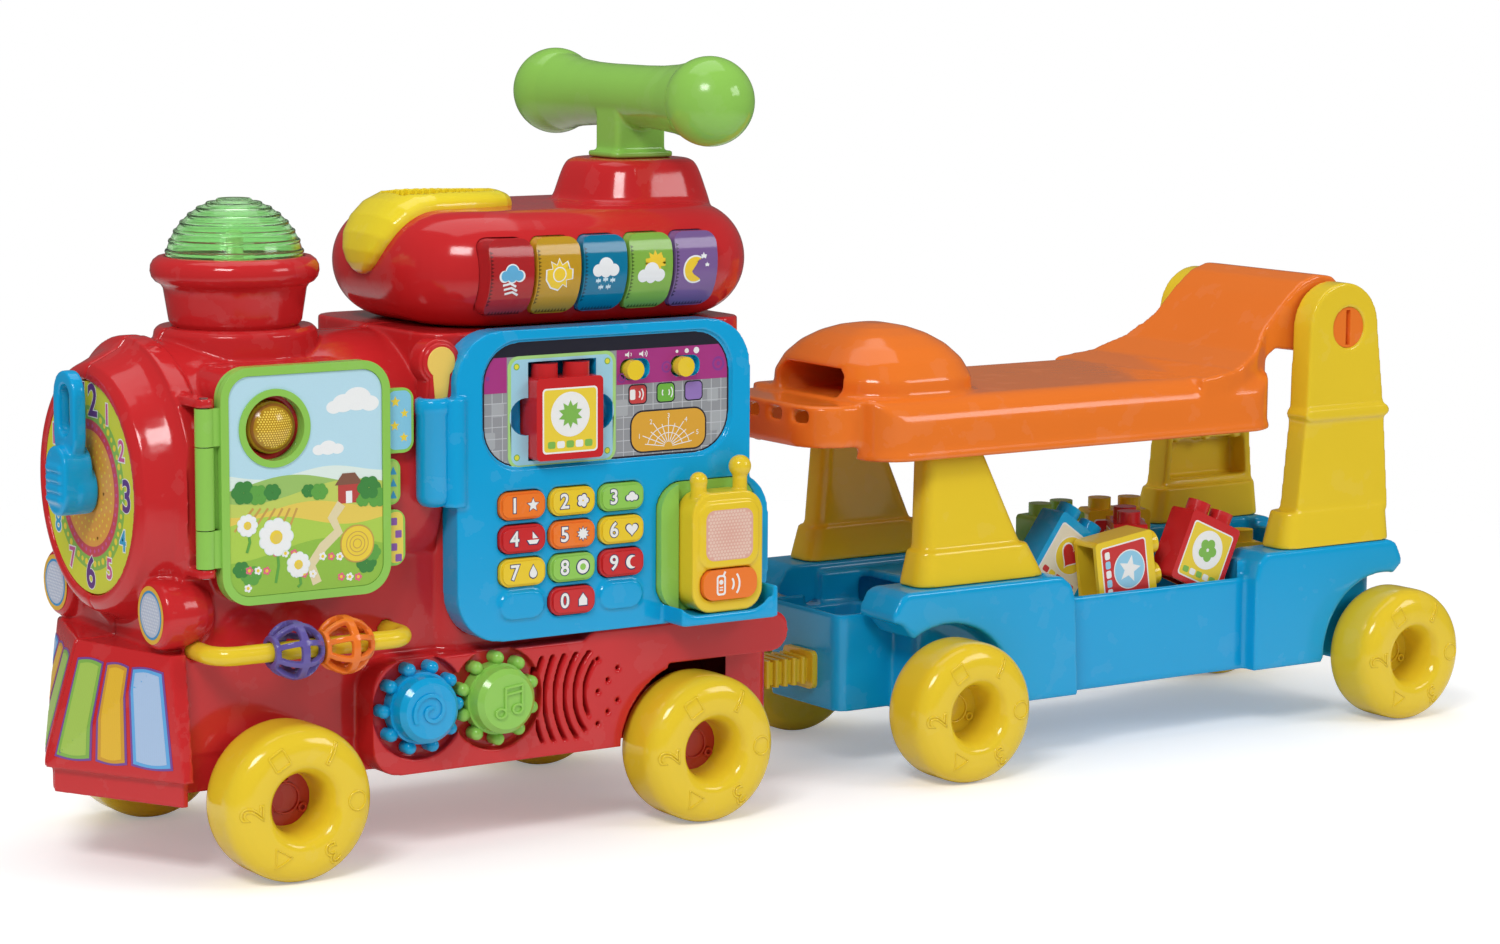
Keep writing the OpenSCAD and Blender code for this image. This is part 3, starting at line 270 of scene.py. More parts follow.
PLASTIC_OF = {
    "red": ("shell_left", "shell_right", "roof_cover", "chimney", "base_plate", "battery_door",
            "tray_block", "button_0", "button_4", "button_9"),
    "blue": ("phone_panel", "clock_hand", "gear_front", "tub"),
    "yellow": ("carry_handle", "button_2", "button_6", "button_7", "volume_switch", "mode_switch",
               "handset", "bead_rod", "hitch", "front_posts", "rear_posts", "letter_blocks",
               "loco_front_wheels", "loco_rear_wheels", "wagon_front_wheels", "wagon_rear_wheels",
               "clock_dial"),
    "green": ("push_handle", "page_front", "page_back", "handset_cradle", "gear_rear", "button_3",
              "button_8"),
    "orange": ("seat", "seat_pins", "handset_button", "bead_rear", "button_1", "button_5"),
    "purple": ("bead_front",),
}
SOFT_EDGED = ("chimney",)
STEEL_NODES = ("page_pin", "loco_front_axle", "loco_rear_axle", "wagon_front_axle", "wagon_rear_axle")
CLEAR_KEYS = {
    "dome_lens": (0.52, 0.90, 0.46), "light_button": (0.72, 0.40, 0.03), "key_1": (0.62, 0.03, 0.035),
    "key_2": (0.78, 0.46, 0.03), "key_3": (0.004, 0.28, 0.50), "key_4": (0.34, 0.66, 0.10),
    "key_5": (0.30, 0.17, 0.46),
}


def round_edges(obj, width, segments=3, angle=32):
    """Weld the imported faces, then round every edge sharper than the angle."""
    weld = obj.modifiers.new("weld", "WELD")
    weld.merge_threshold = 0.00002
    bevel = obj.modifiers.new("rounding", "BEVEL")
    bevel.width = width
    bevel.segments = segments
    bevel.limit_method = "ANGLE"
    bevel.angle_limit = math.radians(angle)
    bevel.use_clamp_overlap = True
    bevel.harden_normals = False
    smooth = obj.modifiers.new("normals", "WEIGHTED_NORMAL")
    smooth.keep_sharp = False


WHEELS = ("loco_front", "loco_rear", "wagon_front", "wagon_rear")
# Voxel in millimetres and number of smoothing passes of each soft moulding
SOFTENED = {"seat": (1.6, 12), "tub": (1.4, 6), "front_posts": (1.2, 10), "rear_posts": (1.2, 8),
            "push_handle": (1.0, 10), "shell_left": (1.0, 6), "shell_right": (1.4, 10),
            "phone_panel": (1.0, 5), "clock_hand": (0.8, 26), "handset": (0.8, 6),
            **{name + "_wheels": (1.5, 24) for name in WHEELS}}


def soften(obj, voxel_mm, repeat):
    """Flow the creases of a fat moulding into one another."""
    remesh = obj.modifiers.new("remesh", "REMESH")
    remesh.mode = "VOXEL"
    remesh.voxel_size = voxel_mm * MM
    remesh.use_smooth_shade = True
    smooth = obj.modifiers.new("smooth", "SMOOTH")
    smooth.factor = 0.5
    smooth.iterations = repeat


def dress(node, mat):
    obj = NODES[node]
    obj.data.materials.clear()
    obj.data.materials.append(mat)
    for face in obj.data.polygons:
        face.use_smooth = True


class TRAIN_OT_plastics(bpy.types.Operator):
    """Give every moulding its plastic and rounded edges"""
    bl_idname = "train.plastics"
    bl_label = "Plastics"

    def execute(self, context):
        sizes = context.scene.train_sizes
        for colour, names in PLASTIC_OF.items():
            for node in names:
                dress(node, plastic(colour + "_plastic", ink(colour)))
        for node, colour in CLEAR_KEYS.items():
            dress(node, clear_plastic("clear_" + node, colour, 0.97 if node == "dome_lens" else 0.35))
        for node in STEEL_NODES:
            dress(node, steel())
        dress("dome_lamp", plastic("lamp_frosted", (0.9, 0.88, 0.7), 0.45))
        dress("speaker", plastic("speaker_black", (0.03, 0.03, 0.035), 0.5))
        dress("circuit_board", plastic("board_green", (0.02, 0.16, 0.05), 0.4))
        for node, obj in NODES.items():
            soft = node in SOFT_EDGED
            if node in SOCKETS:
                continue
            if node in SOFTENED:
                soften(obj, *SOFTENED[node])
            else:
                round_edges(obj, sizes.soft_edge if soft else sizes.fine_edge, 4 if soft else 2)
        return {"FINISHED"}


# Flat and raised shapes gathered in one plane


def disc(x, y, radius, count=36, squash=1.0):
    return [(x + radius * math.cos(2 * math.pi * i / count),
             y + squash * radius * math.sin(2 * math.pi * i / count))
            for i in range(count)]


def rounded(x0, y0, x1, y1, radius, steps=8):
    points = []
    for cx, cy, start in ((x1 - radius, y1 - radius, 0), (x0 + radius, y1 - radius, 90),
                          (x0 + radius, y0 + radius, 180), (x1 - radius, y0 + radius, 270)):
        for i in range(steps + 1):
            a = math.radians(start + 90 * i / steps)
            points.append((cx + radius * math.cos(a), cy + radius * math.sin(a)))
    return points


def star(x, y, outer, inner, tips=5, turn=90):
    return [(x + (outer, inner)[i % 2] * math.cos(math.radians(turn + 180 * i / tips)),
             y + (outer, inner)[i % 2] * math.sin(math.radians(turn + 180 * i / tips)))
             for i in range(2 * tips)]


def band(points, width):
    """Outline of a stroke of even width along an open line."""
    left, right = [], []
    for i, (x, y) in enumerate(points):
        ax, ay = points[max(i - 1, 0)]
        bx, by = points[min(i + 1, len(points) - 1)]
        size = math.hypot(bx - ax, by - ay) or 1.0
        nx, ny = -(by - ay) / size * width / 2, (bx - ax) / size * width / 2
        left.append((x + nx, y + ny))
        right.append((x - nx, y - ny))
    return left + right[::-1]


def arc(x, y, radius, start, stop, steps=16):
    return [(x + radius * math.cos(math.radians(start + (stop - start) * i / steps)),
             y + radius * math.sin(math.radians(start + (stop - start) * i / steps)))
             for i in range(steps + 1)]


def clip(convex, subject):
    """The part of an outline inside a convex outline that runs anticlockwise."""
    for (ax, ay), (bx, by) in zip(convex, convex[1:] + convex[:1]):
        if (ax, ay) == (bx, by):
            continue
        inside = lambda p: (bx - ax) * (p[1] - ay) - (by - ay) * (p[0] - ax) >= 0
        kept = []
        for p, q in zip(subject, subject[1:] + subject[:1]):
            if inside(p):
                kept.append(p)
            if inside(p) != inside(q):
                run = (bx - ax) * (q[1] - p[1]) - (by - ay) * (q[0] - p[0])
                t = ((by - ay) * (p[0] - ax) - (bx - ax) * (p[1] - ay)) / run
                kept.append((p[0] + t * (q[0] - p[0]), p[1] + t * (q[1] - p[1])))
        subject = kept
        if len(subject) < 3:
            return []
    return subject


class Relief:
    """Shapes drawn in one plane in millimetres, each a thin slab, made into one piece."""

    def __init__(self, name, origin, right, up):
        self.name = name
        self.origin = Vector(origin) * MM
        self.right = Vector(right).normalized()
        self.up = (Vector(up) - self.right * Vector(up).dot(self.right)).normalized()
        self.out = self.right.cross(self.up)
        self.mesh = bmesh.new()
        self.mats = []
        self.count = 0

    def at(self, x, y, height):
        return self.origin + (self.right * x + self.up * y + self.out * height) * MM

    def slot(self, mat):
        if mat not in self.mats:
            self.mats.append(mat)
        return self.mats.index(mat)

    def shape(self, outline, mat, low=0.0, high=0.1):
        area = sum(a[0] * b[1] - b[0] * a[1] for a, b in zip(outline, outline[1:] + outline[:1]))
        outline = outline if area > 0 else outline[::-1]
        self.count += 1
        high += 0.001 * (self.count % 60)
        top = [self.mesh.verts.new(self.at(x, y, high)) for x, y in outline]
        foot = [self.mesh.verts.new(self.at(x, y, low)) for x, y in outline]
        faces = [self.mesh.faces.new(top), self.mesh.faces.new(foot[::-1])]
        for i in range(len(top)):
            j = (i + 1) % len(top)
            faces.append(self.mesh.faces.new((foot[i], foot[j], top[j], top[i])))
        for face in faces:
            face.material_index = self.slot(mat)
        return self

    def ring(self, outer, inner, mat, low=0.0, high=0.1):
        """Frame between two outlines with the same number of points."""
        rows = [[self.mesh.verts.new(self.at(x, y, h)) for x, y in line]
                for line, h in ((outer, low), (outer, high), (inner, high), (inner, low))]
        for a, b in zip(rows, rows[1:] + rows[:1]):
            for i in range(len(outer)):
                j = (i + 1) % len(outer)
                face = self.mesh.faces.new((a[i], a[j], b[j], b[i]))
                face.material_index = self.slot(mat)
        return self

    def numeral(self, text, size):
        curve = bpy.data.curves.new("numeral", "FONT")
        curve.body = text
        curve.size = size * MM
        curve.align_x = "CENTER"
        curve.align_y = "CENTER"
        curve.resolution_u = 4
        return curve

    def figure(self, text, x, y, size, mat, low=0.0, high=0.1, fat=0.0, turn=0.0):
        """A printed or raised numeral, centred on x, y."""
        curve = self.numeral(text, size)
        curve.offset = fat * MM
        return self.filled(curve, x, y, mat, low, high, turn)

    def traced(self, text, x, y, size, mat, line, turn=0.0):
        """A numeral drawn as a rounded ridge along its outline."""
        curve = self.numeral(text, size)
        curve.fill_mode = "NONE"
        curve.bevel_depth = line * MM
        curve.bevel_resolution = 1
        return self.filled(curve, x, y, mat, 0.0, 0.0, turn)

    def closed_line(self, outlines, dimensions):
        curve = bpy.data.curves.new("closed_line", "CURVE")
        curve.dimensions = dimensions
        for outline in outlines:
            spline = curve.splines.new("POLY")
            spline.points.add(len(outline) - 1)
            for point, (x, y) in zip(spline.points, outline):
                point.co = (x * MM, y * MM, 0, 1)
            spline.use_cyclic_u = True
        return curve

    def tube(self, outline, mat, line):
        """A rounded ridge along a closed outline."""
        curve = self.closed_line([outline], "3D")
        curve.bevel_depth = line * MM
        curve.bevel_resolution = 1
        return self.filled(curve, 0, 0, mat, 0.0, 0.0)

    def cutout(self, outlines, mat, low=0.0, high=0.1):
        """A slab with holes: the first outline is the rim, the others are open."""
        curve = self.closed_line(outlines, "2D")
        curve.fill_mode = "BOTH"
        return self.filled(curve, 0, 0, mat, low, high)

    def filled(self, curve, x, y, mat, low, high, turn=0.0):
        curve.extrude = (high - low) / 2 * MM
        holder = bpy.data.objects.new("filled", curve)
        bpy.context.scene.collection.objects.link(holder)
        mesh = bpy.data.meshes.new_from_object(holder.evaluated_get(bpy.context.evaluated_depsgraph_get()))
        basis = Matrix((self.right, self.up, self.out)).transposed().to_4x4()
        mesh.transform(Matrix.Translation(self.at(x, y, (low + high) / 2)) @ basis
                       @ Matrix.Rotation(math.radians(turn), 4, "Z"))
        index = self.slot(mat)
        count = len(self.mesh.faces)
        self.mesh.from_mesh(mesh)
        self.mesh.faces.ensure_lookup_table()
        for face in self.mesh.faces[count:]:
            face.material_index = index
        bpy.data.objects.remove(holder)
        bpy.data.curves.remove(curve)
        bpy.data.meshes.remove(mesh)
        return self

    def drape(self, *nodes, step=2.5, reach=60.0):
        """Lay the shapes on the skin of the given mouldings, each at its own height."""
        bmesh.ops.triangulate(self.mesh, faces=self.mesh.faces[:])
        for _ in range(6):
            long = [e for e in self.mesh.edges if e.calc_length() > step * MM]
            if not long:
                break
            bmesh.ops.subdivide_edges(self.mesh, edges=long, cuts=1, use_grid_fill=True)
            bmesh.ops.triangulate(self.mesh, faces=[f for f in self.mesh.faces if len(f.verts) > 3])
        graph = bpy.context.evaluated_depsgraph_get()
        trees = [BVHTree.FromObject(NODES[n], graph) for n in nodes]
        for vert in self.mesh.verts:
            height = (vert.co - self.origin).dot(self.out)
            start = vert.co + self.out * (reach * MM - height)
            hits = [t.ray_cast(start, -self.out, 2 * reach * MM) for t in trees]
            hits = [h for h in hits if h[0] is not None]
            if hits:
                vert.co = min(hits, key=lambda h: h[3])[0] + self.out * height
        return self

    def make(self, body, edge=0.0):
        bmesh.ops.recalc_face_normals(self.mesh, faces=self.mesh.faces[:])
        mesh = bpy.data.meshes.new(self.name)
        self.mesh.to_mesh(mesh)
        self.mesh.free()
        obj = bpy.data.objects.new(self.name, mesh)
        bpy.context.scene.collection.objects.link(obj)
        for mat in self.mats:
            mesh.materials.append(mat)
        if edge:
            bevel = obj.modifiers.new("edge", "BEVEL")
            bevel.width = edge * MM
            bevel.segments = 2
            bevel.limit_method = "ANGLE"
            bevel.angle_limit = math.radians(50)
            for face in mesh.polygons:
                face.use_smooth = True
            obj.modifiers.new("normals", "WEIGHTED_NORMAL")
        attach(obj, body)
        return obj


def lofted(name, loops, mat, smooth=180):
    """Closed skin over outlines with the same number of points, given in millimetres."""
    mesh = bmesh.new()
    for rings in loops:
        rows = [[mesh.verts.new(Vector(point) * MM) for point in ring] for ring in rings]
        count = len(rows[0])
        for a, b in zip(rows, rows[1:]):
            for i in range(count):
                mesh.faces.new((a[i], a[(i + 1) % count], b[(i + 1) % count], b[i]))
        mesh.faces.new(rows[0][::-1])
        mesh.faces.new(rows[-1])
    bmesh.ops.recalc_face_normals(mesh, faces=mesh.faces[:])
    data = bpy.data.meshes.new(name)
    mesh.to_mesh(data)
    mesh.free()
    data.materials.append(mat)
    for face in data.polygons:
        face.use_smooth = True
    data.set_sharp_from_angle(angle=math.radians(smooth))
    obj = bpy.data.objects.new(name, data)
    bpy.context.scene.collection.objects.link(obj)
    return obj


def baked(obj, *cutters):
    """Keep what the modifiers and the cutters leave of a piece."""
    for cutter in cutters:
        cut = obj.modifiers.new("cut", "BOOLEAN")
        cut.operation = "DIFFERENCE"
        cut.solver = "EXACT"
        cut.object = cutter
    done = bpy.data.meshes.new_from_object(obj.evaluated_get(bpy.context.evaluated_depsgraph_get()))
    obj.modifiers.clear()
    obj.data = done
    for cutter in cutters:
        bpy.data.objects.remove(cutter)
    return obj


FRONT = ((0, -1, 0), (0, 0, 1))
LEFT = ((1, 0, 0), (0, 0, 1))
RIGHT = ((-1, 0, 0), (0, 0, 1))


class TRAIN_OT_clock(bpy.types.Operator):
    """Print the dial of the clock"""
    bl_idname = "train.clock"
    bl_label = "Clock dial"

    def execute(self, context):
        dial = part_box("clock_dial")
        mid = (dial[0] + dial[1]) / 2 / MM
        paint = Relief("clock_print", (dial[0].x / MM, mid.y, mid.z), *FRONT)
        inks = {k: printed("dial_" + k, c) for k, c in {
            "lime": (0.66, 0.68, 0.03), "gold": (0.86, 0.66, 0.04), "leaf": (0.26, 0.50, 0.07),
            "sun": (0.80, 0.36, 0.05), "coral": (0.62, 0.06, 0.09), "grape": (0.13, 0.03, 0.22),
            "pink": (0.62, 0.10, 0.30), "sky": (0.03, 0.36, 0.62), "white": (0.85, 0.84, 0.78)}.items()}
        paint.shape(disc(0, 0, 61.6, 96), inks["lime"], 0, 0.05)
        paint.ring(disc(0, 0, 48, 96), disc(0, 0, 40, 96), inks["leaf"], 0, 0.09)
        for i in range(48):
            a = math.radians(7.5 * i)
            paint.shape(disc(44.2 * math.cos(a), 44.2 * math.sin(a), 1.5 + 0.5 * (i % 2), 12), inks["gold"],
                        0.05, 0.12)
        paint.ring(disc(0, 0, 40.2, 96), disc(0, 0, 34, 96), inks["coral"], 0, 0.12)
        for i in range(40):
            a = math.radians(9 * i)
            paint.shape(disc(37 * math.cos(a), 37 * math.sin(a), 1.1, 10), inks["pink"], 0.08, 0.15)
        paint.shape(disc(0, 0, 34.2, 96), inks["sun"], 0, 0.12)
        for r, n in ((30, 36), (24.5, 30), (19.5, 24)):
            for i in range(n):
                a = 2 * math.pi * (i + 0.5 * (r % 2)) / n
                paint.shape(disc(r * math.cos(a), r * math.sin(a), 0.9, 8), inks["gold"], 0.1, 0.15)
        small = ["pink", "pink", None, "sky", "pink", None, "pink", "sky", None, "pink", "sky", None]
        for hour in range(1, 13):
            a = math.radians(90 - 30 * hour)
            big = hour % 3 == 0
            reach, size = (50.5, 26) if big else (51.5, 17)
            x, y = reach * math.cos(a), reach * math.sin(a)
            colour = inks["grape"] if big else inks[small[hour - 1]]
            paint.figure(str(hour), x, y, size, inks["white"], 0.1, 0.16, 1.1)
            paint.figure(str(hour), x, y, size, colour, 0.14, 0.22, 0.55 if big else 0.3)
        paint.make("loco")
        return {"FINISHED"}


class TRAIN_OT_headlights(bpy.types.Operator):
    """Print the headlights"""
    bl_idname = "train.headlights"
    bl_label = "Headlights"

    def execute(self, context):
        rim, line = printed("lamp_rim", (0.80, 0.45, 0.02)), printed("lamp_line", (0.02, 0.28, 0.60))
        glass, dot = printed("lamp_glass", (0.50, 0.56, 0.70)), printed("lamp_dot", (0.70, 0.74, 0.82))
        for side in (-1, 1):
            lamp = Relief("headlight_left" if side < 0 else "headlight_right",
                          (LOCO_X - HEADLIGHT_X, side * HEADLIGHT_Y, HEADLIGHT_Z), *FRONT)
            r = HEADLIGHT_R
            lamp.shape(disc(0, 0, r - 0.3, 64), rim, 0, 0.08)
            lamp.shape(disc(0, 0, r - 2.9, 64), line, 0.04, 0.14)
            lamp.shape(disc(0, 0, r - 4.3, 64), glass, 0.08, 0.2)
            for i in range(-5, 6):
                for j in range(-5, 6):
                    x, y = 2.2 * i + 1.1 * (j % 2), 1.9 * j
                    if math.hypot(x, y) < r - 5.6:
                        lamp.shape(disc(x, y, 0.62, 8), dot, 0.1, 0.26)
            lamp.make("loco")
        return {"FINISHED"}


class TRAIN_OT_grille(bpy.types.Operator):
    """Coloured panels of the cow-catcher"""
    bl_idname = "train.grille"
    bl_label = "Cow-catcher panels"

    def execute(self, context):
        edge = printed("grille_edge", (0.20, 0.07, 0.34))
        inner = {"leaf": (0.40, 0.60, 0.10), "gold": (0.82, 0.50, 0.03), "sky": (0.42, 0.58, 0.82)}
        frame_ink = {"leaf": (0.24, 0.48, 0.08), "gold": (0.66, 0.34, 0.03), "sky": (0.12, 0.42, 0.80)}
        for side, node in ((-1, "shell_left"), (1, "shell_right")):
            low_nose, low_out = Vector((-NOSE, 0, 60)), Vector((-60, 86 * side, 60))
            top_nose, top_out = Vector((-NOSE + 21, 0, 132)), Vector((-64, 78 * side, 132))
            across = (low_out - low_nose) * (1 if side < 0 else -1)
            middle = (low_nose + low_out + top_nose + top_out) / 4 + Vector((LOCO_X, 0, 0))
            rise = (top_nose + top_out - low_nose - low_out) / 2
            panel = Relief("grille_left" if side < 0 else "grille_right", middle, across, rise)
            for name, a, b in (("leaf", 0.07, 0.34), ("gold", 0.37, 0.60), ("sky", 0.63, 0.93)):
                def spot(u, v):
                    low = low_nose.lerp(low_out, u)
                    top = top_nose.lerp(top_out, u)
                    p = low.lerp(top, v) + Vector((LOCO_X, 0, 0)) - middle
                    return p.dot(panel.right), p.dot(panel.up)
                for inset, mat, high in ((0.0, edge, 0.25),
                                         (0.016, printed("grille_rim_" + name, frame_ink[name]), 0.4),
                                         (0.040, printed("grille_" + name, inner[name]), 0.55)):
                    u0, u1, v0, v1 = a + inset, b - inset, 0.10 + inset, 0.88 - inset
                    bow = 0.018
                    line = [spot(u0 + (u1 - u0) * t / 8, v0 - bow * math.sin(math.pi * t / 8))
                            for t in range(9)]
                    line += [spot(u1 - (u1 - u0) * t / 8, v1 + bow * math.sin(math.pi * t / 8))
                             for t in range(9)]
                    panel.shape(line, mat, -0.4, high)
            panel.drape(node, step=6.0)
            panel.make("loco")
        return {"FINISHED"}


class TRAIN_OT_book(bpy.types.Operator):
    """Picture on the front page and patterns on the tabs"""
    bl_idname = "train.book"
    bl_label = "Book"

    def execute(self, context):
        inks = {k: printed("page_" + k, c) for k, c in {
            "sky": (0.50, 0.76, 0.88), "haze": (0.76, 0.88, 0.82), "cloud": (0.90, 0.92, 0.92),
            "hill": (0.56, 0.66, 0.12), "far": (0.34, 0.56, 0.14), "meadow": (0.30, 0.55, 0.06),
            "lawn": (0.44, 0.66, 0.08), "straw": (0.82, 0.62, 0.10), "soil": (0.60, 0.36, 0.08),
            "bush": (0.05, 0.26, 0.05), "leaf": (0.12, 0.40, 0.06), "brick": (0.52, 0.06, 0.05),
            "roof": (0.24, 0.10, 0.06), "petal": (0.80, 0.16, 0.24), "gold": (0.88, 0.66, 0.05),
            "path": (0.80, 0.70, 0.42)}.items()}
        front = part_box("page_front")[0].y / MM
        page = Relief("page_picture", (LOCO_X + 16, front + 1.4, 228.5), *LEFT)
        edge = rounded(-48.8, -62.8, 48.8, 62.8, 12.8)
        lamp = disc(-20, 32.5, 22.4, 64)

        def patch(line, colour, layer):
            page.cutout([clip(edge, line)], inks[colour], 0.0, 0.05 + 0.05 * layer)

        page.cutout([edge, lamp], inks["sky"], 0.0, 0.05)
        for x, y, r in ((24, 44, 7), (33, 46, 9), (41, 43, 6), (18, 42, 5), (8, 18, 4), (14, 19, 5.5),
                        (20, 18, 4)):
            page.shape(disc(x, y, r, 28, 0.75), inks["cloud"], 0.0, 0.1)
        wave = lambda low, swing, beat, phase: [(x, low + swing * math.sin(beat * x + phase))
                                                for x in range(-50, 51, 2)]
        for layer, (colour, low, swing, beat, phase) in enumerate((
                ("haze", 6, 2.5, 0.08, 0.4), ("far", 1, 4, 0.06, 2.2), ("hill", -5, 5, 0.05, 0.2),
                ("straw", -14, 3, 0.07, 1.4), ("lawn", -22, 4, 0.06, 3.0), ("meadow", -38, 5, 0.05, 0.9))):
            patch(wave(low, swing, beat, phase) + [(50, -64), (-50, -64)], colour, 2 + layer)
        for i in range(7):
            page.shape(band([(-46 + 5.5 * i, -25 - 0.6 * i), (-34 + 4.6 * i, -12.5 - 0.3 * i)], 1.3),
                       inks["soil"], 0, 0.36)
        page.shape(band([(6, -59), (2, -48), (10, -38), (20, -30), (16, -22), (22, -14)], 6.0),
                   inks["path"], 0, 0.42)
        page.shape([(20, -14), (34, -14), (34, -3), (20, -3)], inks["brick"], 0, 0.36)
        page.shape([(18, -3.2), (36, -3.2), (31, 3.4), (23, 3.4)], inks["roof"], 0, 0.4)
        page.shape([(25, -14), (29, -14), (29, -7), (25, -7)], inks["cloud"], 0, 0.42)
        for x, y, r, colour in ((-40, -3, 7, "bush"), (-31, -5, 6, "leaf"), (-22, -4, 5, "bush"),
                                (40, -6, 7, "bush"),
                                (45, -12, 6, "leaf"), (36, -13, 4, "leaf"), (8, -6, 5, "leaf"),
                                (1, -5, 4, "bush"),
                                (-42, -47, 5, "bush"), (-36, -51, 6, "leaf"), (42, -44, 5, "leaf"),
                                (38, -50, 6, "bush")):
            for a in range(6):
                page.shape(disc(x + 0.62 * r * math.cos(a * 1.05), y + 0.5 * r * math.sin(a * 1.05),
                                0.5 * r, 16),
                           inks[colour], 0, 0.46 + 0.01 * a)
        for i in range(16):
            x, y = -38 + (i * 29.3) % 76, -58 + (i * 17.7) % 22
            for a in range(5):
                page.shape(disc(x + 1.5 * math.cos(a * 1.257), y + 1.5 * math.sin(a * 1.257), 1.0, 10),
                           inks["petal" if i % 2 else "cloud"], 0, 0.52)
            page.shape(disc(x, y, 1.0, 10), inks["gold"], 0, 0.56)
        for x, y, r in ((-20, -30, 11), (-38, -22, 6.5), (-6, -47, 7.5)):
            page.shape(band([(x, y), (x + 1.5, y - 1.5 * r), (x - 0.5, max(y - 2.4 * r, -60))], 1.6),
                       inks["leaf"], 0, 0.57)
            for a in range(9):
                turn = 2 * math.pi * a / 9
                page.shape(disc(x + 0.66 * r * math.cos(turn), y + 0.66 * r * math.sin(turn), 0.36 * r, 18),
                           inks["haze"], 0, 0.58)
                page.shape(disc(x + 0.66 * r * math.cos(turn), y + 0.66 * r * math.sin(turn), 0.31 * r, 18),
                           inks["cloud"], 0, 0.66)
            page.shape(disc(x, y, 0.36 * r, 24), inks["gold"], 0, 0.74)
            page.shape(disc(x + 0.06 * r, y - 0.06 * r, 0.24 * r, 20), inks["straw"], 0, 0.80)
        page.shape(rounded(21, -49, 43, -27, 10.4), inks["soil"], 0, 0.57)
        page.shape(rounded(21.8, -48.2, 42.2, -27.8, 9.8), inks["gold"], 0, 0.66)
        for turns in (2.4, 4.6, 6.8):
            page.ring(disc(32, -38, turns + 0.5, 36), disc(32, -38, turns, 36), inks["soil"], 0, 0.74)
        page.make("page_front")
        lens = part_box("light_button")
        centre = (lens[0] + lens[1]) / 2 / MM
        grain = Relief("lens_grain", (centre.x, lens[0].y / MM, centre.z), *LEFT)
        shine = printed("lens_shine", (0.95, 0.72, 0.10), 0.12)
        rim = printed("lens_rim", (0.34, 0.12, 0.02), 0.15)
        wide = (lens[1].x - lens[0].x) / 2 / MM
        # Grid of tiny dots on the amber lens in a brighter yellow: the lens's grain with painted glints on
        # it
        for row in range(-9, 10):
            for column in range(-9, 10):
                x, y = 1.55 * (column + 0.5 * (row % 2)), 1.35 * row
                if x * x + y * y < (0.74 * wide) ** 2:
                    grain.shape(disc(x, y, 0.52, 6), shine, -0.15, 0.06)
        for k in range(36):
            a, b = 2 * math.pi * k / 36, 2 * math.pi * (k + 1) / 36
            grain.shape([(q * wide * math.cos(t), q * wide * math.sin(t))
                         for q, t in ((0.83, a), (0.93, a), (0.93, b), (0.83, b))],
                        rim, -0.15, 0.05)
        grain.drape("light_button", step=2.0)
        grain.make("light_button")
        tabs = Relief("tab_patterns", (LOCO_X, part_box("page_back")[0].y / MM, -0.5), *LEFT)
        front_of_tab = tabs.origin.y / MM
        tabs.origin.y = (-88.3) * MM if front_of_tab < -88.3 else tabs.origin.y
        blue, lime, corn = (printed("tab_" + k, c) for k, c in (
            ("blue", (0.24, 0.60, 0.80)), ("lime", (0.40, 0.62, 0.12)), ("corn", (0.84, 0.66, 0.10))))
        dark, grape = printed("tab_line", (0.03, 0.30, 0.56)), printed("tab_grape", (0.26, 0.10, 0.40))
        tabs.shape(rounded(71, 243, 86.4, 277.4, 5), blue, 0, 0.06)
        for x, y, r in ((76, 271, 3.4), (82, 264, 2.8), (75.5, 257, 3.2), (81.5, 250, 3.0)):
            tabs.shape(star(x, y, r, r * 0.45), inks["gold"], 0.02, 0.12)
        tabs.shape(rounded(71, 212.5, 77.6, 236.4, 3), lime, 0, 0.06)
        for y in (231, 224, 217):
            tabs.shape([(72, y - 2.4), (76.6, y - 2.4), (74.3, y + 2.4)], dark, 0.02, 0.12)
        tabs.shape(rounded(71, 176.6, 80.6, 206.6, 4), corn, 0, 0.06)
        for i, y in enumerate((201, 193.5, 186, 179.5)):
            tabs.shape(rounded(72.4 + 3 * (i % 2), y - 2.2, 76.6 + 3 * (i % 2), y + 2.2, 0.6, 3), grape,
                       0.02, 0.12)
        tabs.make("page_back")
        return {"FINISHED"}


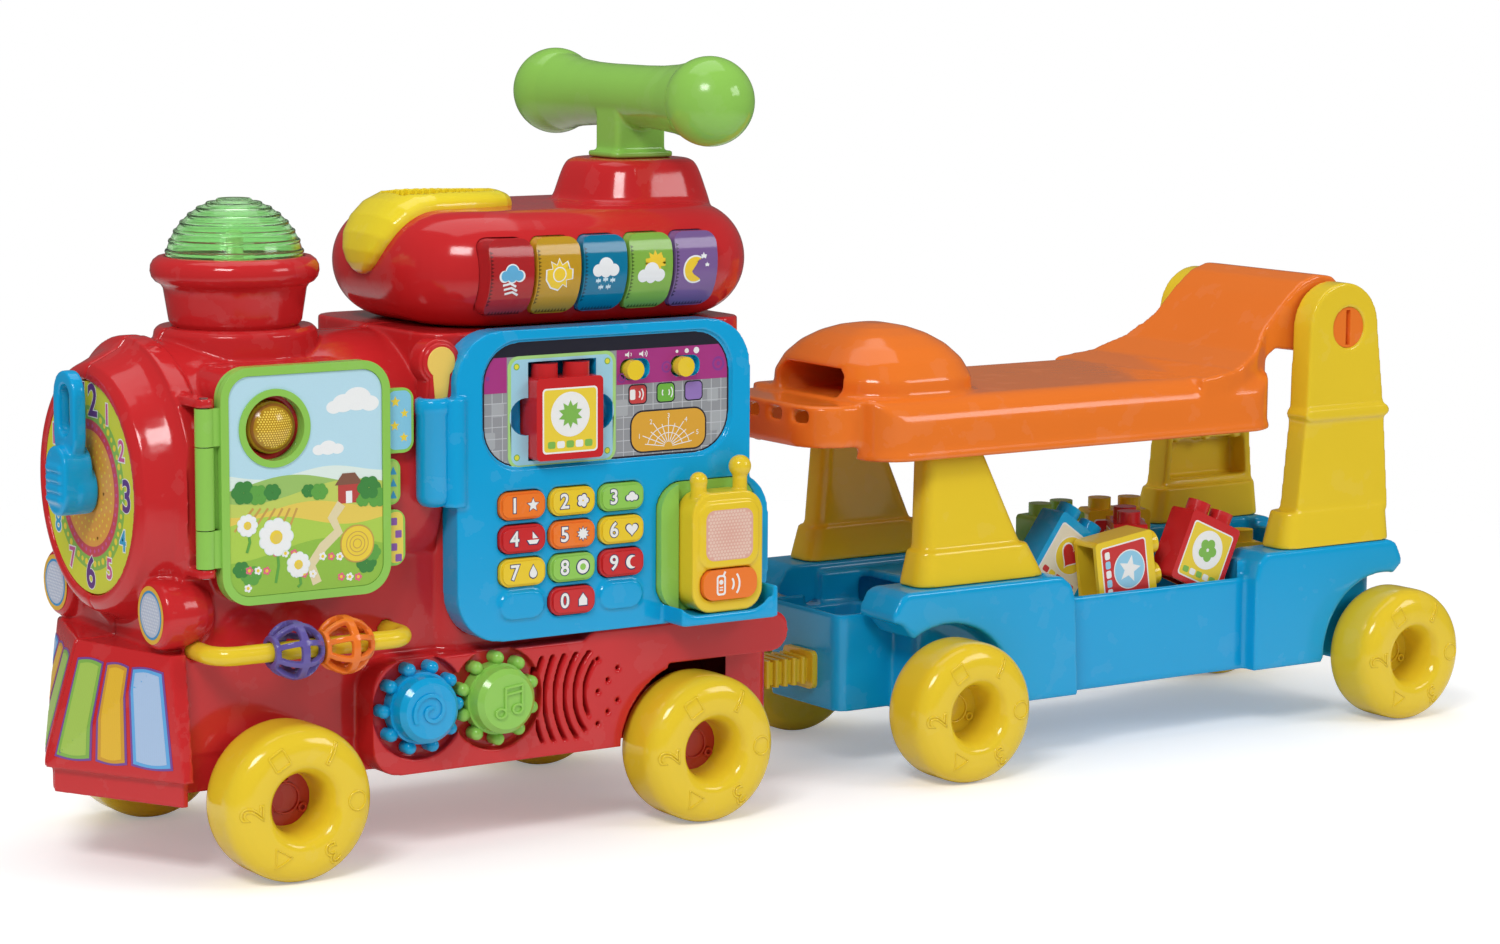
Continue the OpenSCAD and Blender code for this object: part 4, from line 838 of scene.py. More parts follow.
class TRAIN_OT_screen(bpy.types.Operator):
    """Printed sheet of the telephone's screen and the block tray"""
    bl_idname = "train.screen"
    bl_label = "Screen"

    def execute(self, context):
        inks = {k: printed("screen_" + k, c) for k, c in {
            "black": (0.012, 0.012, 0.025), "grid": (0.30, 0.31, 0.33), "line": (0.55, 0.57, 0.60),
            "magenta": (0.40, 0.03, 0.22), "plum": (0.26, 0.04, 0.28), "ice": (0.36, 0.66, 0.80),
            "lime": (0.40, 0.70, 0.22), "gold": (0.80, 0.76, 0.05), "white": (0.86, 0.86, 0.86),
            "amber": (0.74, 0.38, 0.03), "red": (0.60, 0.05, 0.05), "green": (0.16, 0.46, 0.05),
            "violet": (0.30, 0.18, 0.50), "slate": (0.40, 0.42, 0.44)}.items()}
        sheet = Relief("screen_sheet", (LOCO_X, PANEL_Y + 2.5, 0), *LEFT)
        edge = rounded(129.4, 226.4, 304.6, 302.6, 25.6)
        x0, x1, z0, z1 = 161.4, 208.6, 230.4, 289.4
        tray = [(x0, z0), (x1, z0)] + arc(210, 257, 11.2, -98, 98)
        tray += [(x1, z1), (x0, z1)] + arc(160, 257, 11.2, 82, 278)
        slots = [rounded(x - 7.6, 274.6, x + 13.6, 287.4, 5.4) for x in SWITCH_X]
        sheet.cutout([edge, tray] + slots, inks["grid"], 0, 0.04)
        grid = [[(x - 0.22, 228), (x + 0.22, 228), (x + 0.22, 272), (x - 0.22, 272)]
                for x in range(130, 305, 7)]
        grid += [[(128, z - 0.22), (306, z - 0.22), (306, z + 0.22), (128, z + 0.22)]
                 for z in range(231, 273, 7)]
        for line in grid:
            for part in ([(127, 220), (147, 220), (147, 305), (127, 305)],
                         [(223, 220), (306, 220), (306, 305), (223, 305)]):
                kept = clip(part, clip(edge, line))
                if len(kept) > 2:
                    sheet.shape(kept, inks["line"], 0.02, 0.08)
        for x, z, s in ((134, 244, 5), (141, 262, 4), (226, 258, 5), (296, 246, 6), (292, 262, 4),
                        (138, 234, 4), (299, 236, 4)):
            sheet.shape(clip(edge, rounded(x - s, z - s, x + s, z + s, 1.0, 3)), inks["slate"], 0.02, 0.06)
        left = [(127, 272), (147, 272), (147, 294), (127, 294)]
        sheet.shape(clip(edge, left), inks["magenta"], 0, 0.1)
        band_edge = clip(edge, [(223, 272), (306, 272), (306, 294), (223, 294)])
        sheet.cutout([band_edge] + slots, inks["magenta"], 0, 0.1)
        sheet.shape(clip(edge, [(127, 293), (306, 293), (306, 304), (127, 304)]), inks["black"], 0, 0.14)
        for x, z, r in ((134, 281, 4.5), (258.5, 281, 3.6), (296, 281, 4.5), (226.6, 276, 3)):
            sheet.ring(disc(x, z, r, 24), disc(x, z, r * 0.66, 24), inks["plum"], 0.05, 0.13)
            sheet.shape(disc(x, z, r * 0.3, 16), inks["plum"], 0.05, 0.13)
        inner = rounded(131.6, 228.6, 302.4, 300.4, 23.4)
        sheet.ring(edge, inner, inks["black"], 0.0, 0.2)
        plate = rounded(147.6, 226.8, 222.4, 293.2, 7)
        sheet.cutout([clip(edge, plate), tray], inks["lime"], 0, 0.22)
        sheet.cutout([clip(edge, rounded(149.8, 228.2, 220.2, 291.2, 5.5)), tray], inks["ice"], 0, 0.28)
        for x, z in ((153.6, 287), (216.4, 287), (153.6, 233), (216.4, 233)):
            sheet.shape(disc(x, z, 2.0, 20), inks["green"], 0.1, 0.32)
            sheet.shape(disc(x, z, 1.5, 20), inks["gold"], 0.1, 0.36)
        for x, colour in ((238, "red"), (258, "green"), (278, "violet")):
            sheet.shape(rounded(x - 6.6, 259.4, x + 6.6, 271.6, 3), inks["black"], 0.05, 0.16)
            sheet.shape(rounded(x - 5.9, 260.1, x + 5.9, 270.9, 2.5), inks[colour], 0.1, 0.2)
        sheet.shape(rounded(232.4, 262.4, 236.2, 268.6, 1), inks["white"], 0.1, 0.24)
        for r in (3.0, 5.2):
            sheet.shape(band(arc(236.6, 265.5, r, -40, 40, 8), 0.9), inks["white"], 0.1, 0.24)
            for turn in (0, 180):
                sheet.shape(band(arc(258, 265.5, r - 0.4, turn - 40, turn + 40, 8), 0.8), inks["white"],
                            0.1, 0.24)
        sheet.shape(disc(258, 265.5, 1.3, 16), inks["white"], 0.1, 0.24)
        sheet.shape(disc(278, 266.6, 2.7, 20), inks["white"], 0.1, 0.24)
        sheet.shape(rounded(274.6, 261.8, 281.4, 264.2, 1.1), inks["white"], 0.1, 0.24)
        gauge = rounded(232.6, 229.6, 287.4, 255.6, 9)
        sheet.shape(gauge, inks["black"], 0.05, 0.16)
        sheet.shape(rounded(233.6, 230.6, 286.4, 254.6, 8), inks["amber"], 0.1, 0.2)
        for i in range(11):
            a = math.radians(10 + 16 * i)
            tip = 17.5 if i % 2 else 14.5
            sheet.shape(band([(260 + 3 * math.cos(a), 232.4 + 3 * math.sin(a)),
                              (260 + 1.18 * tip * math.cos(a), 232.4 + tip * math.sin(a))], 0.5),
                              inks["white"], 0.1, 0.24)
        for r in (8.5, 12.8):
            sheet.shape(band([(260 + 1.18 * r * math.cos(math.radians(a)),
                               232.4 + r * math.sin(math.radians(a)))
                              for a in range(8, 173, 6)], 0.45), inks["white"], 0.1, 0.24)
        for i in range(5):
            a = math.radians(158 - 34 * i)
            sheet.figure(str(i + 1), 260 + 22.5 * math.cos(a), 233 + 18.2 * math.sin(a), 4.2, inks["white"],
                         0.1, 0.24)
        for x, count in ((SWITCH_X[0] - 2, 1), (SWITCH_X[0] + 8, 2)):
            sheet.shape([(x - 2, 289.2), (x - 0.6, 289.2), (x + 0.8, 288), (x + 0.8, 291.8),
                         (x - 0.6, 290.6), (x - 2, 290.6)],
                        inks["white"], 0.1, 0.2)
            for k in range(count):
                wave = arc(x + 1, 289.9, 1.4 + 1.2 * k, -45, 45, 6)
                sheet.shape(band(wave, 0.5), inks["white"], 0.1, 0.2)
        for x, s in ((SWITCH_X[1] - 3, 1.0), (SWITCH_X[1] + 4, 1.5), (SWITCH_X[1] + 11, 2.0)):
            sheet.shape(disc(x, 290, s, 16), inks["white"], 0.1, 0.2)
        sheet.make("loco")
        return {"FINISHED"}


BUTTON_INK = {"white": (0.86, 0.86, 0.84), "line": (0.02, 0.02, 0.10)}


def sign(paint, kind, x, y, size, mat, low, high):
    """Small plain signs for the keys and buttons."""
    if kind == "star":
        paint.shape(star(x, y, size, size * 0.45), mat, low, high)
    elif kind == "flower":
        for i in range(5):
            paint.shape(disc(x + 0.55 * size * math.cos(1.257 * i), y + 0.55 * size * math.sin(1.257 * i),
                             0.42 * size, 14),
                        mat, low, high)
    elif kind == "cloud":
        for dx, dy, r in ((-0.6, -0.2, 0.42), (0, 0.1, 0.56), (0.6, -0.2, 0.42), (0, -0.3, 0.4)):
            paint.shape(disc(x + dx * size, y + dy * size, r * size, 18), mat, low, high)
    elif kind == "sun":
        paint.shape(star(x, y, size, size * 0.62, 10), mat, low, high)
    elif kind == "moon":
        paint.shape(arc(x, y, size, 60, 300, 20) + arc(x + 0.45 * size, y, 0.78 * size, 275, 85, 16), mat,
                    low, high)
    elif kind == "drop":
        paint.shape(arc(x, y - 0.25 * size, 0.62 * size, 150, 390, 16) + [(x, y + size)], mat, low, high)
    elif kind == "heart":
        line = []
        for t in (2 * math.pi * i / 28 for i in range(28)):
            across = 16 * math.sin(t) ** 3
            rise = 13 * math.cos(t) - 5 * math.cos(2 * t) - 2 * math.cos(3 * t) - math.cos(4 * t)
            line.append((x + 0.062 * size * across, y + 0.062 * size * rise))
        paint.shape(line, mat, low, high)
    elif kind == "boat":
        paint.shape([(x - size, y - 0.2 * size), (x + size, y - 0.2 * size),
                     (x + 0.6 * size, y - 0.8 * size),
                     (x - 0.6 * size, y - 0.8 * size)], mat, low, high)
        paint.shape([(x - 0.1 * size, y), (x + 0.8 * size, y), (x - 0.1 * size, y + size)], mat, low, high)
    elif kind == "house":
        paint.shape([(x - 0.7 * size, y - 0.8 * size), (x + 0.7 * size, y - 0.8 * size),
                     (x + 0.7 * size, y + 0.1 * size),
                     (x, y + size), (x - 0.7 * size, y + 0.1 * size)], mat, low, high)
    else:
        paint.ring(disc(x, y, size, 24), disc(x, y, 0.5 * size, 24), mat, low, high)


BUTTON_SIGNS = ("house", "star", "flower", "cloud", "boat", "sun", "heart", "drop", "ring", "moon")


class TRAIN_OT_buttons(bpy.types.Operator):
    """Numerals and signs on the number buttons"""
    bl_idname = "train.buttons"
    bl_label = "Number buttons"

    def execute(self, context):
        white, line = (printed("button_" + k, c) for k, c in BUTTON_INK.items())
        for number in range(10):
            low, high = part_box("button_%d" % number)
            mid = (low + high) / 2 / MM
            paint = Relief("button_print_%d" % number, (mid.x, low.y / MM, mid.z), *LEFT)
            paint.figure(str(number), -6.2, 0, 12.5, line, 0, 0.06, 0.75)
            paint.figure(str(number), -6.2, 0, 12.5, white, 0, 0.12, 0.25)
            for size, mat, top in ((4.9, line, 0.06), (4.1, white, 0.12)):
                sign(paint, BUTTON_SIGNS[number], 6.4, 0, size, mat, 0, top)
            paint.make("button_%d" % number)
        return {"FINISHED"}


class TRAIN_OT_handset(bpy.types.Operator):
    """Screen and sign of the handset"""
    bl_idname = "train.handset"
    bl_label = "Handset"

    def execute(self, context):
        pink, dot = printed("handset_pink", (0.76, 0.42, 0.34)), printed("handset_dot", (0.84, 0.60, 0.50))
        white = printed("handset_white", (0.88, 0.88, 0.86))
        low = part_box("handset")[0]
        face = Relief("handset_screen", (LOCO_X + PHONE_X + 0.5, low.y / MM, PHONE_Z + 48), *LEFT)
        face.shape(rounded(-17, -15.5, 17, 15.5, 6), pink, 0, 0.06)
        for i in range(-7, 8):
            for j in range(-7, 8):
                x, y = 2.3 * i + 1.15 * (j % 2), 2.0 * j
                if abs(x) < 15.6 and abs(y) < 14.4 and abs(x) + abs(y) < 26:
                    r = 0.5 + 0.035 * math.hypot(x, y)
                    face.shape(disc(x, y, min(r, 0.95), 8), dot, 0.02, 0.1)
        face.make("handset")
        low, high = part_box("handset_button")
        mid = (low + high) / 2 / MM
        mark = Relief("handset_sign", (mid.x, low.y / MM, mid.z), *LEFT)
        mark.ring(rounded(-10, -6.5, -3.4, 6, 2), rounded(-8.8, -5.3, -4.6, 4.8, 1.2), white, 0, 0.12)
        mark.shape(band([(-5, 5.6), (-3.8, 8)], 1.3), white, 0, 0.12)
        mark.shape(disc(-6.7, 1.6, 1.5, 14), white, 0, 0.12)
        for k in (0, 1):
            mark.shape(band([(-7.9, -1.6 - 1.6 * k), (-5.5, -1.6 - 1.6 * k)], 0.8), white, 0, 0.12)
            mark.shape(band(arc(-3, 0, 5.4 + 4.2 * k, -38, 38, 10), 1.3), white, 0, 0.12)
        mark.make("handset_button")
        return {"FINISHED"}


class TRAIN_OT_keys(bpy.types.Operator):
    """Weather signs on the clear keys"""
    bl_idname = "train.keys"
    bl_label = "Clear keys"

    def execute(self, context):
        white = printed("key_white", (0.86, 0.88, 0.90))
        tint = {k: printed("key_" + k, c) for k, c in {"sun": (0.90, 0.62, 0.03), "sky": (0.12, 0.44, 0.72),
                                                       "snow": (0.62, 0.80, 0.90),
                                                       "leaf": (0.30, 0.55, 0.10)}.items()}
        for i in range(1, 6):
            low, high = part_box("key_%d" % i)
            mid = (low + high) / 2 / MM
            paint = Relief("key_sign_%d" % i, (mid.x, low.y / MM, mid.z + 1), *LEFT)
            # Dark saw-tooth strips along the left and bottom edges, in a darker key colour: painted shade
            # in the serrated edges of the clear key
            deep = printed("key_deep_%d" % i, tuple(0.22 * c for c in CLEAR_KEYS["key_%d" % i]), 0.15)
            for k in range(15):
                paint.shape([(-14.4, -17.6 + 2.2 * k), (-12.2, -16.5 + 2.2 * k), (-14.4, -15.4 + 2.2 * k)],
                            deep, -0.2, 0.03)
            for k in range(10):
                paint.shape([(-11 + 2.2 * k, -23.2), (-8.8 + 2.2 * k, -23.2), (-9.9 + 2.2 * k, -20.8)],
                            deep, -0.2, 0.03)
            if i == 1:
                sign(paint, "cloud", 0, 2, 8.6, white, -0.2, 0.1)
                sign(paint, "cloud", 0, 2, 7.4, tint["sky"], -0.2, 0.16)
                for k in range(3):
                    paint.shape(band([(-6 + k, -5 - 2.6 * k), (-1 + k, -4 - 2.6 * k),
                                      (3 + k, -6 - 2.6 * k)], 1.3), white, -0.2, 0.16)
            elif i == 2:
                sign(paint, "sun", 0, 0, 10, white, -0.2, 0.1)
                sign(paint, "sun", 0, 0, 9, tint["sun"], -0.2, 0.16)
                paint.shape(disc(0, 0, 4.6, 28), white, -0.2, 0.2)
                paint.shape(disc(0, 0, 3.9, 28), tint["sun"], -0.2, 0.24)
            elif i == 3:
                sign(paint, "cloud", 0, 3, 9, white, -0.2, 0.14)
                for x, y in ((-5, -5), (0, -4.4), (5, -5), (-2.6, -9), (2.6, -9)):
                    paint.shape(star(x, y, 1.9, 0.8, 6), tint["snow"], -0.2, 0.18)
            elif i == 4:
                sign(paint, "sun", 2.6, 4.5, 7.4, tint["sun"], -0.2, 0.1)
                sign(paint, "cloud", 0, -1.6, 9.4, white, -0.2, 0.16)
            else:
                sign(paint, "moon", -1, -1, 8.6, white, -0.2, 0.1)
                sign(paint, "moon", -1, -1, 7.6, tint["sun"], -0.2, 0.16)
                for x, y, r in ((5, 7, 2.2), (7.4, 1.6, 1.6)):
                    paint.shape(star(x, y, r, r * 0.45), white, -0.2, 0.16)
            paint.drape("key_%d" % i, step=2.0)
            paint.make("key_%d" % i)
        return {"FINISHED"}


TOP_Z = 93.3
BLOCKS = (
    (123, -40, 57.6, (-90, 0, 0), "yellow"), (173, -40, 57.6, (-90, 0, 0), "red"),
    (223, -40, 57.6, (-90, 0, 0), "blue"),
    (173, 37, 57.6, (90, 0, 0), "yellow"), (223, 37, 57.6, (90, 0, 0), "red"),
    (123, -40, 81.2, (-90, 0, 0), "red"), (173, -40, 81.2, (-90, 0, 0), "blue"),
    (223, -40, 81.2, (-90, 0, 0), "red"),
    (173, 37, 81.2, (90, 0, 0), "green"), (223, 37, 81.2, (90, 0, 0), "blue"),
    (163, -54, TOP_Z + 25.25, (0, 82, 0), "yellow"), (233, -54, TOP_Z + 30.25, (0, 24, 0), "red"),
    (134, -28, TOP_Z + 31.6, (0, 36, 0), "blue"), (205, -14, TOP_Z + 24.5, (0, 0, 58), "red"),
    (181, 40, TOP_Z + 24.5, (0, 0, 10), "green"), (234, 35, TOP_Z + 24.5, (0, 0, -20), "yellow"),
    (318, 10, 90.6, (0, 0, -16), "yellow"),
)
LABEL_INK = {"cream": (0.86, 0.80, 0.62), "red": (0.62, 0.03, 0.03), "gold": (0.86, 0.64, 0.04),
             "sky": (0.30, 0.62, 0.82),
             "leaf": (0.22, 0.50, 0.08), "plum": (0.24, 0.08, 0.34), "white": (0.88, 0.88, 0.86),
             "wood": (0.42, 0.22, 0.10)}
LABELS = {"yellow": ("red", "white", "sky"), "red": ("gold", "leaf", "white"),
          "blue": ("cream", "red", "gold"),
          "green": ("white", "plum", "gold")}


def block_label(paint, inks, colour, kind):
    """Printed panel of one block: a frame, a plain sign on a round spot and a striped foot."""
    ground, figure, spot = (inks[k] for k in LABELS[colour])
    paint.shape(rounded(-19, -20.5, 19, 18.5, 2.5), inks["white"], 0, 0.05)
    paint.shape(rounded(-18, -19.5, 18, 17.5, 2), ground, 0, 0.12)
    paint.shape(disc(0, 2.5, 13.4, 40), inks["white"], 0, 0.2)
    paint.shape(disc(0, 2.5, 12.6, 40), spot, 0, 0.28)
    sign(paint, kind, 0, 2.5, 9.6, inks["white"], 0, 0.36)
    sign(paint, kind, 0, 2.5, 8.4, figure, 0, 0.46)
    for i in range(5):
        paint.shape(rounded(-15.5 + 6.4 * i, -17.4, -10.3 + 6.4 * i, -13.2, 1.2, 4), (figure, spot)[i % 2],
                    0, 0.2)


class TRAIN_OT_blocks(bpy.types.Operator):
    """Colour each loose block and print its two panels"""
    bl_idname = "train.blocks"
    bl_label = "Stacking blocks"

    def execute(self, context):
        inks = {k: printed("label_" + k, c) for k, c in LABEL_INK.items()}
        obj = NODES["letter_blocks"]
        hues = sorted(LABELS)
        obj.data.materials.clear()
        for hue in hues:
            obj.data.materials.append(plastic(hue + "_plastic", ink(hue)))
        places = []
        for x, y, z, turn, hue in BLOCKS:
            spin = Euler([math.radians(a) for a in turn]).to_matrix()
            places.append((Vector((WAGON_X + x, y, z)) * MM, spin, hue))
        for face in obj.data.polygons:
            middle = obj.matrix_world @ face.center
            for centre, spin, hue in places:
                p = spin.transposed() @ (middle - centre) / MM
                if abs(p.x) < 23.6 and abs(p.y) < 12.2 and -25.2 < p.z < 34.2:
                    face.material_index = hues.index(hue)
                    break
            else:
                raise RuntimeError("a face of letter_blocks lies outside every block")
        kinds = ("boat", "house", "star", "flower", "heart", "sun", "cloud", "drop")
        for i, (centre, spin, hue) in enumerate(places):
            for side in (-1, 1):
                out = spin @ Vector((0, side, 0))
                paint = Relief("block_label_%d_%s" % (i, "a" if side < 0 else "b"),
                               centre / MM + out * 11.5,
                               spin @ Vector((-side, 0, 0)), spin @ Vector((0, 0, 1)))
                block_label(paint, inks, hue, kinds[(i + (side > 0) * 3) % len(kinds)])
                paint.make("wagon")
        low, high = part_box("tray_block")
        mid = (low + high) / 2 / MM
        paint = Relief("tray_block_label", (mid.x, low.y / MM, low.z / MM + 24.5), *LEFT)
        block_label(paint, inks, "red", "sun")
        paint.make("tray_block")
        return {"FINISHED"}


class TRAIN_OT_wheels(bpy.types.Operator):
    """Raised numerals and hub caps of the wheels"""
    bl_idname = "train.wheels"
    bl_label = "Wheels"

    def execute(self, context):
        yellow = plastic("yellow_plastic", ink("yellow"))
        for name in WHEELS:
            low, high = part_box(name + "_wheels")
            mid = (low + high) / 2 / MM
            hub = plastic("hub_red", (0.50, 0.03, 0.012), 0.3) if name.startswith("loco") else yellow
            for side, axes in ((-1, LEFT), (1, RIGHT)):
                tag = name + ("_left" if side < 0 else "_right")
                rim = low.y / MM if side < 0 else high.y / MM
                raised = Relief("numerals_" + tag, (mid.x, rim, mid.z), *axes)
                for k in range(3):
                    a = math.radians(60 + 120 * k)
                    raised.traced(str(k + 1), 33 * math.cos(a), 33 * math.sin(a), 19, yellow, 0.75,
                                  120 * k - 30)
                for k, line in enumerate((disc(33, 0, 5.6, 32), rounded(28, -5, 38, 5, 1),
                                          disc(32.4, 0, 6.8, 3))):
                    turn = math.radians(120 * k)
                    spun = [(x * math.cos(turn) - y * math.sin(turn),
                             x * math.sin(turn) + y * math.cos(turn)) for x, y in line]
                    raised.tube(spun, yellow, 0.75)
                raised.drape(name + "_wheels", step=2.5, reach=30)
                raised.make(name + "_set")
                cap = Relief("hub_" + tag, (mid.x, rim - side * 29.0, mid.z), *axes)
                cap.shape(disc(0, 0, 16.8, 48), hub, -2.0, 1.2)
                cap.ring(disc(0, 0, 9.6, 40), disc(0, 0, 8.2, 40), hub, 0, 2.6)
                for k in range(3):
                    a = math.radians(90 + 120 * k)
                    cap.ring(disc(12.4 * math.cos(a), 12.4 * math.sin(a), 2.9, 20),
                             disc(12.4 * math.cos(a), 12.4 * math.sin(a), 1.5, 20), hub, 0, 3.4)
                cap.make(name + "_set", 0.4)
        return {"FINISHED"}


TUBE_X, TUBE_Y = 101.0, -88.0


class TRAIN_OT_paddle(bpy.types.Operator):
    """Blue tube beside the panel with the pale paddle above it"""
    bl_idname = "train.paddle"
    bl_label = "Tube and paddle"

    def execute(self, context):
        red, blue = plastic("red_plastic", ink("red")), plastic("blue_plastic", ink("blue"))
        gold = printed("paddle_gold", (0.90, 0.62, 0.12))
        house = Relief("paddle_housing", (LOCO_X + 105.5, -78.4, 292), *LEFT)
        for grow, low, high in ((4.6, -3.0, 10.5), (2.6, 0.0, 12.0)):
            head = arc(0, 0, 9.2 + grow, -52, 232, 28)
            house.shape(head + [(-5.4 - grow, -26), (5.4 + grow, -26)], red, low, high)
        house.make("loco", 1.6)
        paddle = Relief("paddle", (LOCO_X + 105.5, -78.4, 292), *LEFT)
        paddle.shape(arc(0, 0, 9.2, -52, 232, 28) + [(-4.4, -22), (3.6, -22)], gold, 11.0, 12.5)
        paddle.make("loco", 0.5)
        rows = ((207.0, 4.0), (208.2, 7.4), (211.0, 9.6), (214.0, 10.2), (262.0, 10.2), (263.0, 10.9),
                (268.6, 10.9), (270.6, 10.3), (271.6, 8.6), (271.6, 6.6), (266.0, 6.0))
        turns = [2 * math.pi * i / 40 for i in range(40)]
        loops = [[(LOCO_X + TUBE_X + r * math.cos(t), TUBE_Y + r * math.sin(t), z) for t in turns]
                 for z, r in rows]
        tube = lofted("panel_tube", [loops], blue)
        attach(tube, "loco")
        return {"FINISHED"}


ROOF_NOSE, ROOF_CORNER, ROOF_HALF_H = 34.0, 62.0, 34.5
BOSS_X = 292.0
KEY_GAP = 0.5


class TRAIN_OT_roof(bpy.types.Operator):
    """Fat roof with its key openings, and the carry hood on it"""
    bl_idname = "train.roof"
    bl_label = "Roof and hood"

    def execute(self, context):
        red = plastic("red_plastic", ink("red"))
        gold = plastic("hood_yellow", (0.88, 0.70, 0.03))
        (x0, y0, z0), (x1, y1, _) = (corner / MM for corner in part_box("roof_cover"))
        mid = z0 + ROOF_HALF_H
        pillow = []
        for step in range(-12, 13):
            turn = math.radians(7.5 * step)
            inset = ROOF_NOSE * (1 - math.cos(turn))
            pillow.append([(x, y, mid + ROOF_HALF_H * math.sin(turn))
                           for x, y in rounded(x0 + inset, y0 + inset, x1 - inset, y1 - inset,
                                               ROOF_CORNER - inset, 12)])
        boss = []
        for z, w in ((58, 47.5), (69, 45.5), (77, 43), (85, 40.5), (90, 38.5), (93.4, 36.2), (95, 32)):
            plan = rounded(LOCO_X + BOSS_X - w, -w, LOCO_X + BOSS_X + w, w, 0.78 * w, 12)
            boss.append([(x, y, z0 + z) for x, y in plan])
        roof = lofted("roof_pillow", [pillow, boss], red)
        soften(roof, 1.6, 14)
        openings = []
        for i in range(1, 6):
            low, high = (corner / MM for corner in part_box("key_%d" % i))
            hole = rounded(low.x - KEY_GAP, low.z - KEY_GAP, high.x + KEY_GAP, high.z + KEY_GAP, 7.4, 6)
            openings.append([[(x, y, z) for x, z in hole] for y in (low.y - 8, high.y + 3.0)])
        baked(roof)
        baked(roof, lofted("key_openings", openings, red))
        roof.data.set_sharp_from_angle(angle=math.radians(38))
        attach(roof, "loco")
        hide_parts("roof_cover")
        rows = []
        for turn, run, wide, fat in (
                (-7, 0, 3, 2), (-3, 0, 10, 4.6), (4, 0, 16, 6.6), (14, 0, 21.5, 8.4), (28, 0, 26.5, 9.8),
                (44, 0, 29.4, 10.8), (60, 0, 30.8, 11.6), (76, 0, 31, 11.9), (90, 0, 31, 11.9),
                (90, 14, 29.8, 11.7), (90, 30, 27.4, 11.2), (90, 44, 24.6, 10.6), (90, 54, 21, 9.6),
                (90, 60, 16, 7.6), (90, 63, 9.6, 5), (90, 64, 3, 2)):
            c, s = math.cos(math.radians(turn)), math.sin(math.radians(turn))
            centre = Vector((x0 + ROOF_NOSE * (1 - c) + run, 0, mid + ROOF_HALF_H * s))
            ring = []
            for k in range(40):
                a = 2 * math.pi * k / 40
                u = math.copysign(abs(math.cos(a)) ** 0.8, math.cos(a)) * wide
                v = math.copysign(abs(math.sin(a)) ** 0.8, math.sin(a)) * fat
                ring.append(centre + Vector((-c * v, u, s * v)))
            rows.append(ring)
        hood = lofted("hood_band", [rows], gold)
        rim = ((20, -14), (25, -19.5), (33, -21.6), (50, -19.4), (70, -16), (82, -12.6), (87, -7))
        slot = [(x0 + x, y) for x, y in rim]
        slot += [(x, -y) for x, y in slot[::-1]]
        cut = [[[(x, y, z0 + z) for x, y in slot] for z in (70.4, 90)]]
        baked(hood, lofted("hood_slot", cut, gold))
        soften(hood, 0.8, 6)
        baked(hood)
        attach(hood, "loco")
        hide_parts("carry_handle")
        ribs = Relief("hood_ribs", (x0, 0, z0 + 69.5), (1, 0, 0), (0, 1, 0))
        for k in range(14):
            x = 24 + 4.4 * k
            reach = 21.4 - 0.16 * (x - 33) if x > 33 else 18.6
            for side in (-1, 1):
                ribs.shape([(x - 0.9, side * (reach - 2.6)), (x + 0.9, side * (reach - 2.6)),
                            (x + 0.9, side * (reach + 2)), (x - 0.9, side * (reach + 2))], gold, 0, 8.4)
        ribs.make("loco", 0.3)
        return {"FINISHED"}


SOCKETS = {"handset": ("handset_button",), "shell_left": ("light_button",),
           "phone_panel": tuple("button_%d" % i for i in range(10))}
PRESS = 2.5


class TRAIN_OT_sockets(bpy.types.Operator):
    """Soft body half and panel with room for each button at the end of its press"""
    bl_idname = "train.sockets"
    bl_label = "Button sockets"

    def execute(self, context):
        def twin(node, name):
            data = NODES[node].data.copy()
            data.transform(NODES[node].matrix_world)
            obj = bpy.data.objects.new(name, data)
            context.scene.collection.objects.link(obj)
            return obj

        for node, buttons in SOCKETS.items():
            body = twin(node, node + "_soft")
            soften(body, *SOFTENED[node])
            baked(body)
            cutters = []
            for button in buttons:
                low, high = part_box(button)
                mid, size = (low + high) / 2, high - low
                cutter = twin(button, "socket_" + button)
                for vertex in cutter.data.vertices:
                    grown = [mid[k] + (vertex.co[k] - mid[k]) * (size[k] + 0.8 * MM) / size[k]
                             for k in range(3)]
                    vertex.co = Vector(grown) + Vector((0, PRESS * MM, 0))
                cutters.append(cutter)
            baked(body, *cutters)
            body.data.set_sharp_from_angle(angle=math.radians(50))
            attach(body, "handset" if node == "handset" else "loco")
            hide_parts(node)
        return {"FINISHED"}


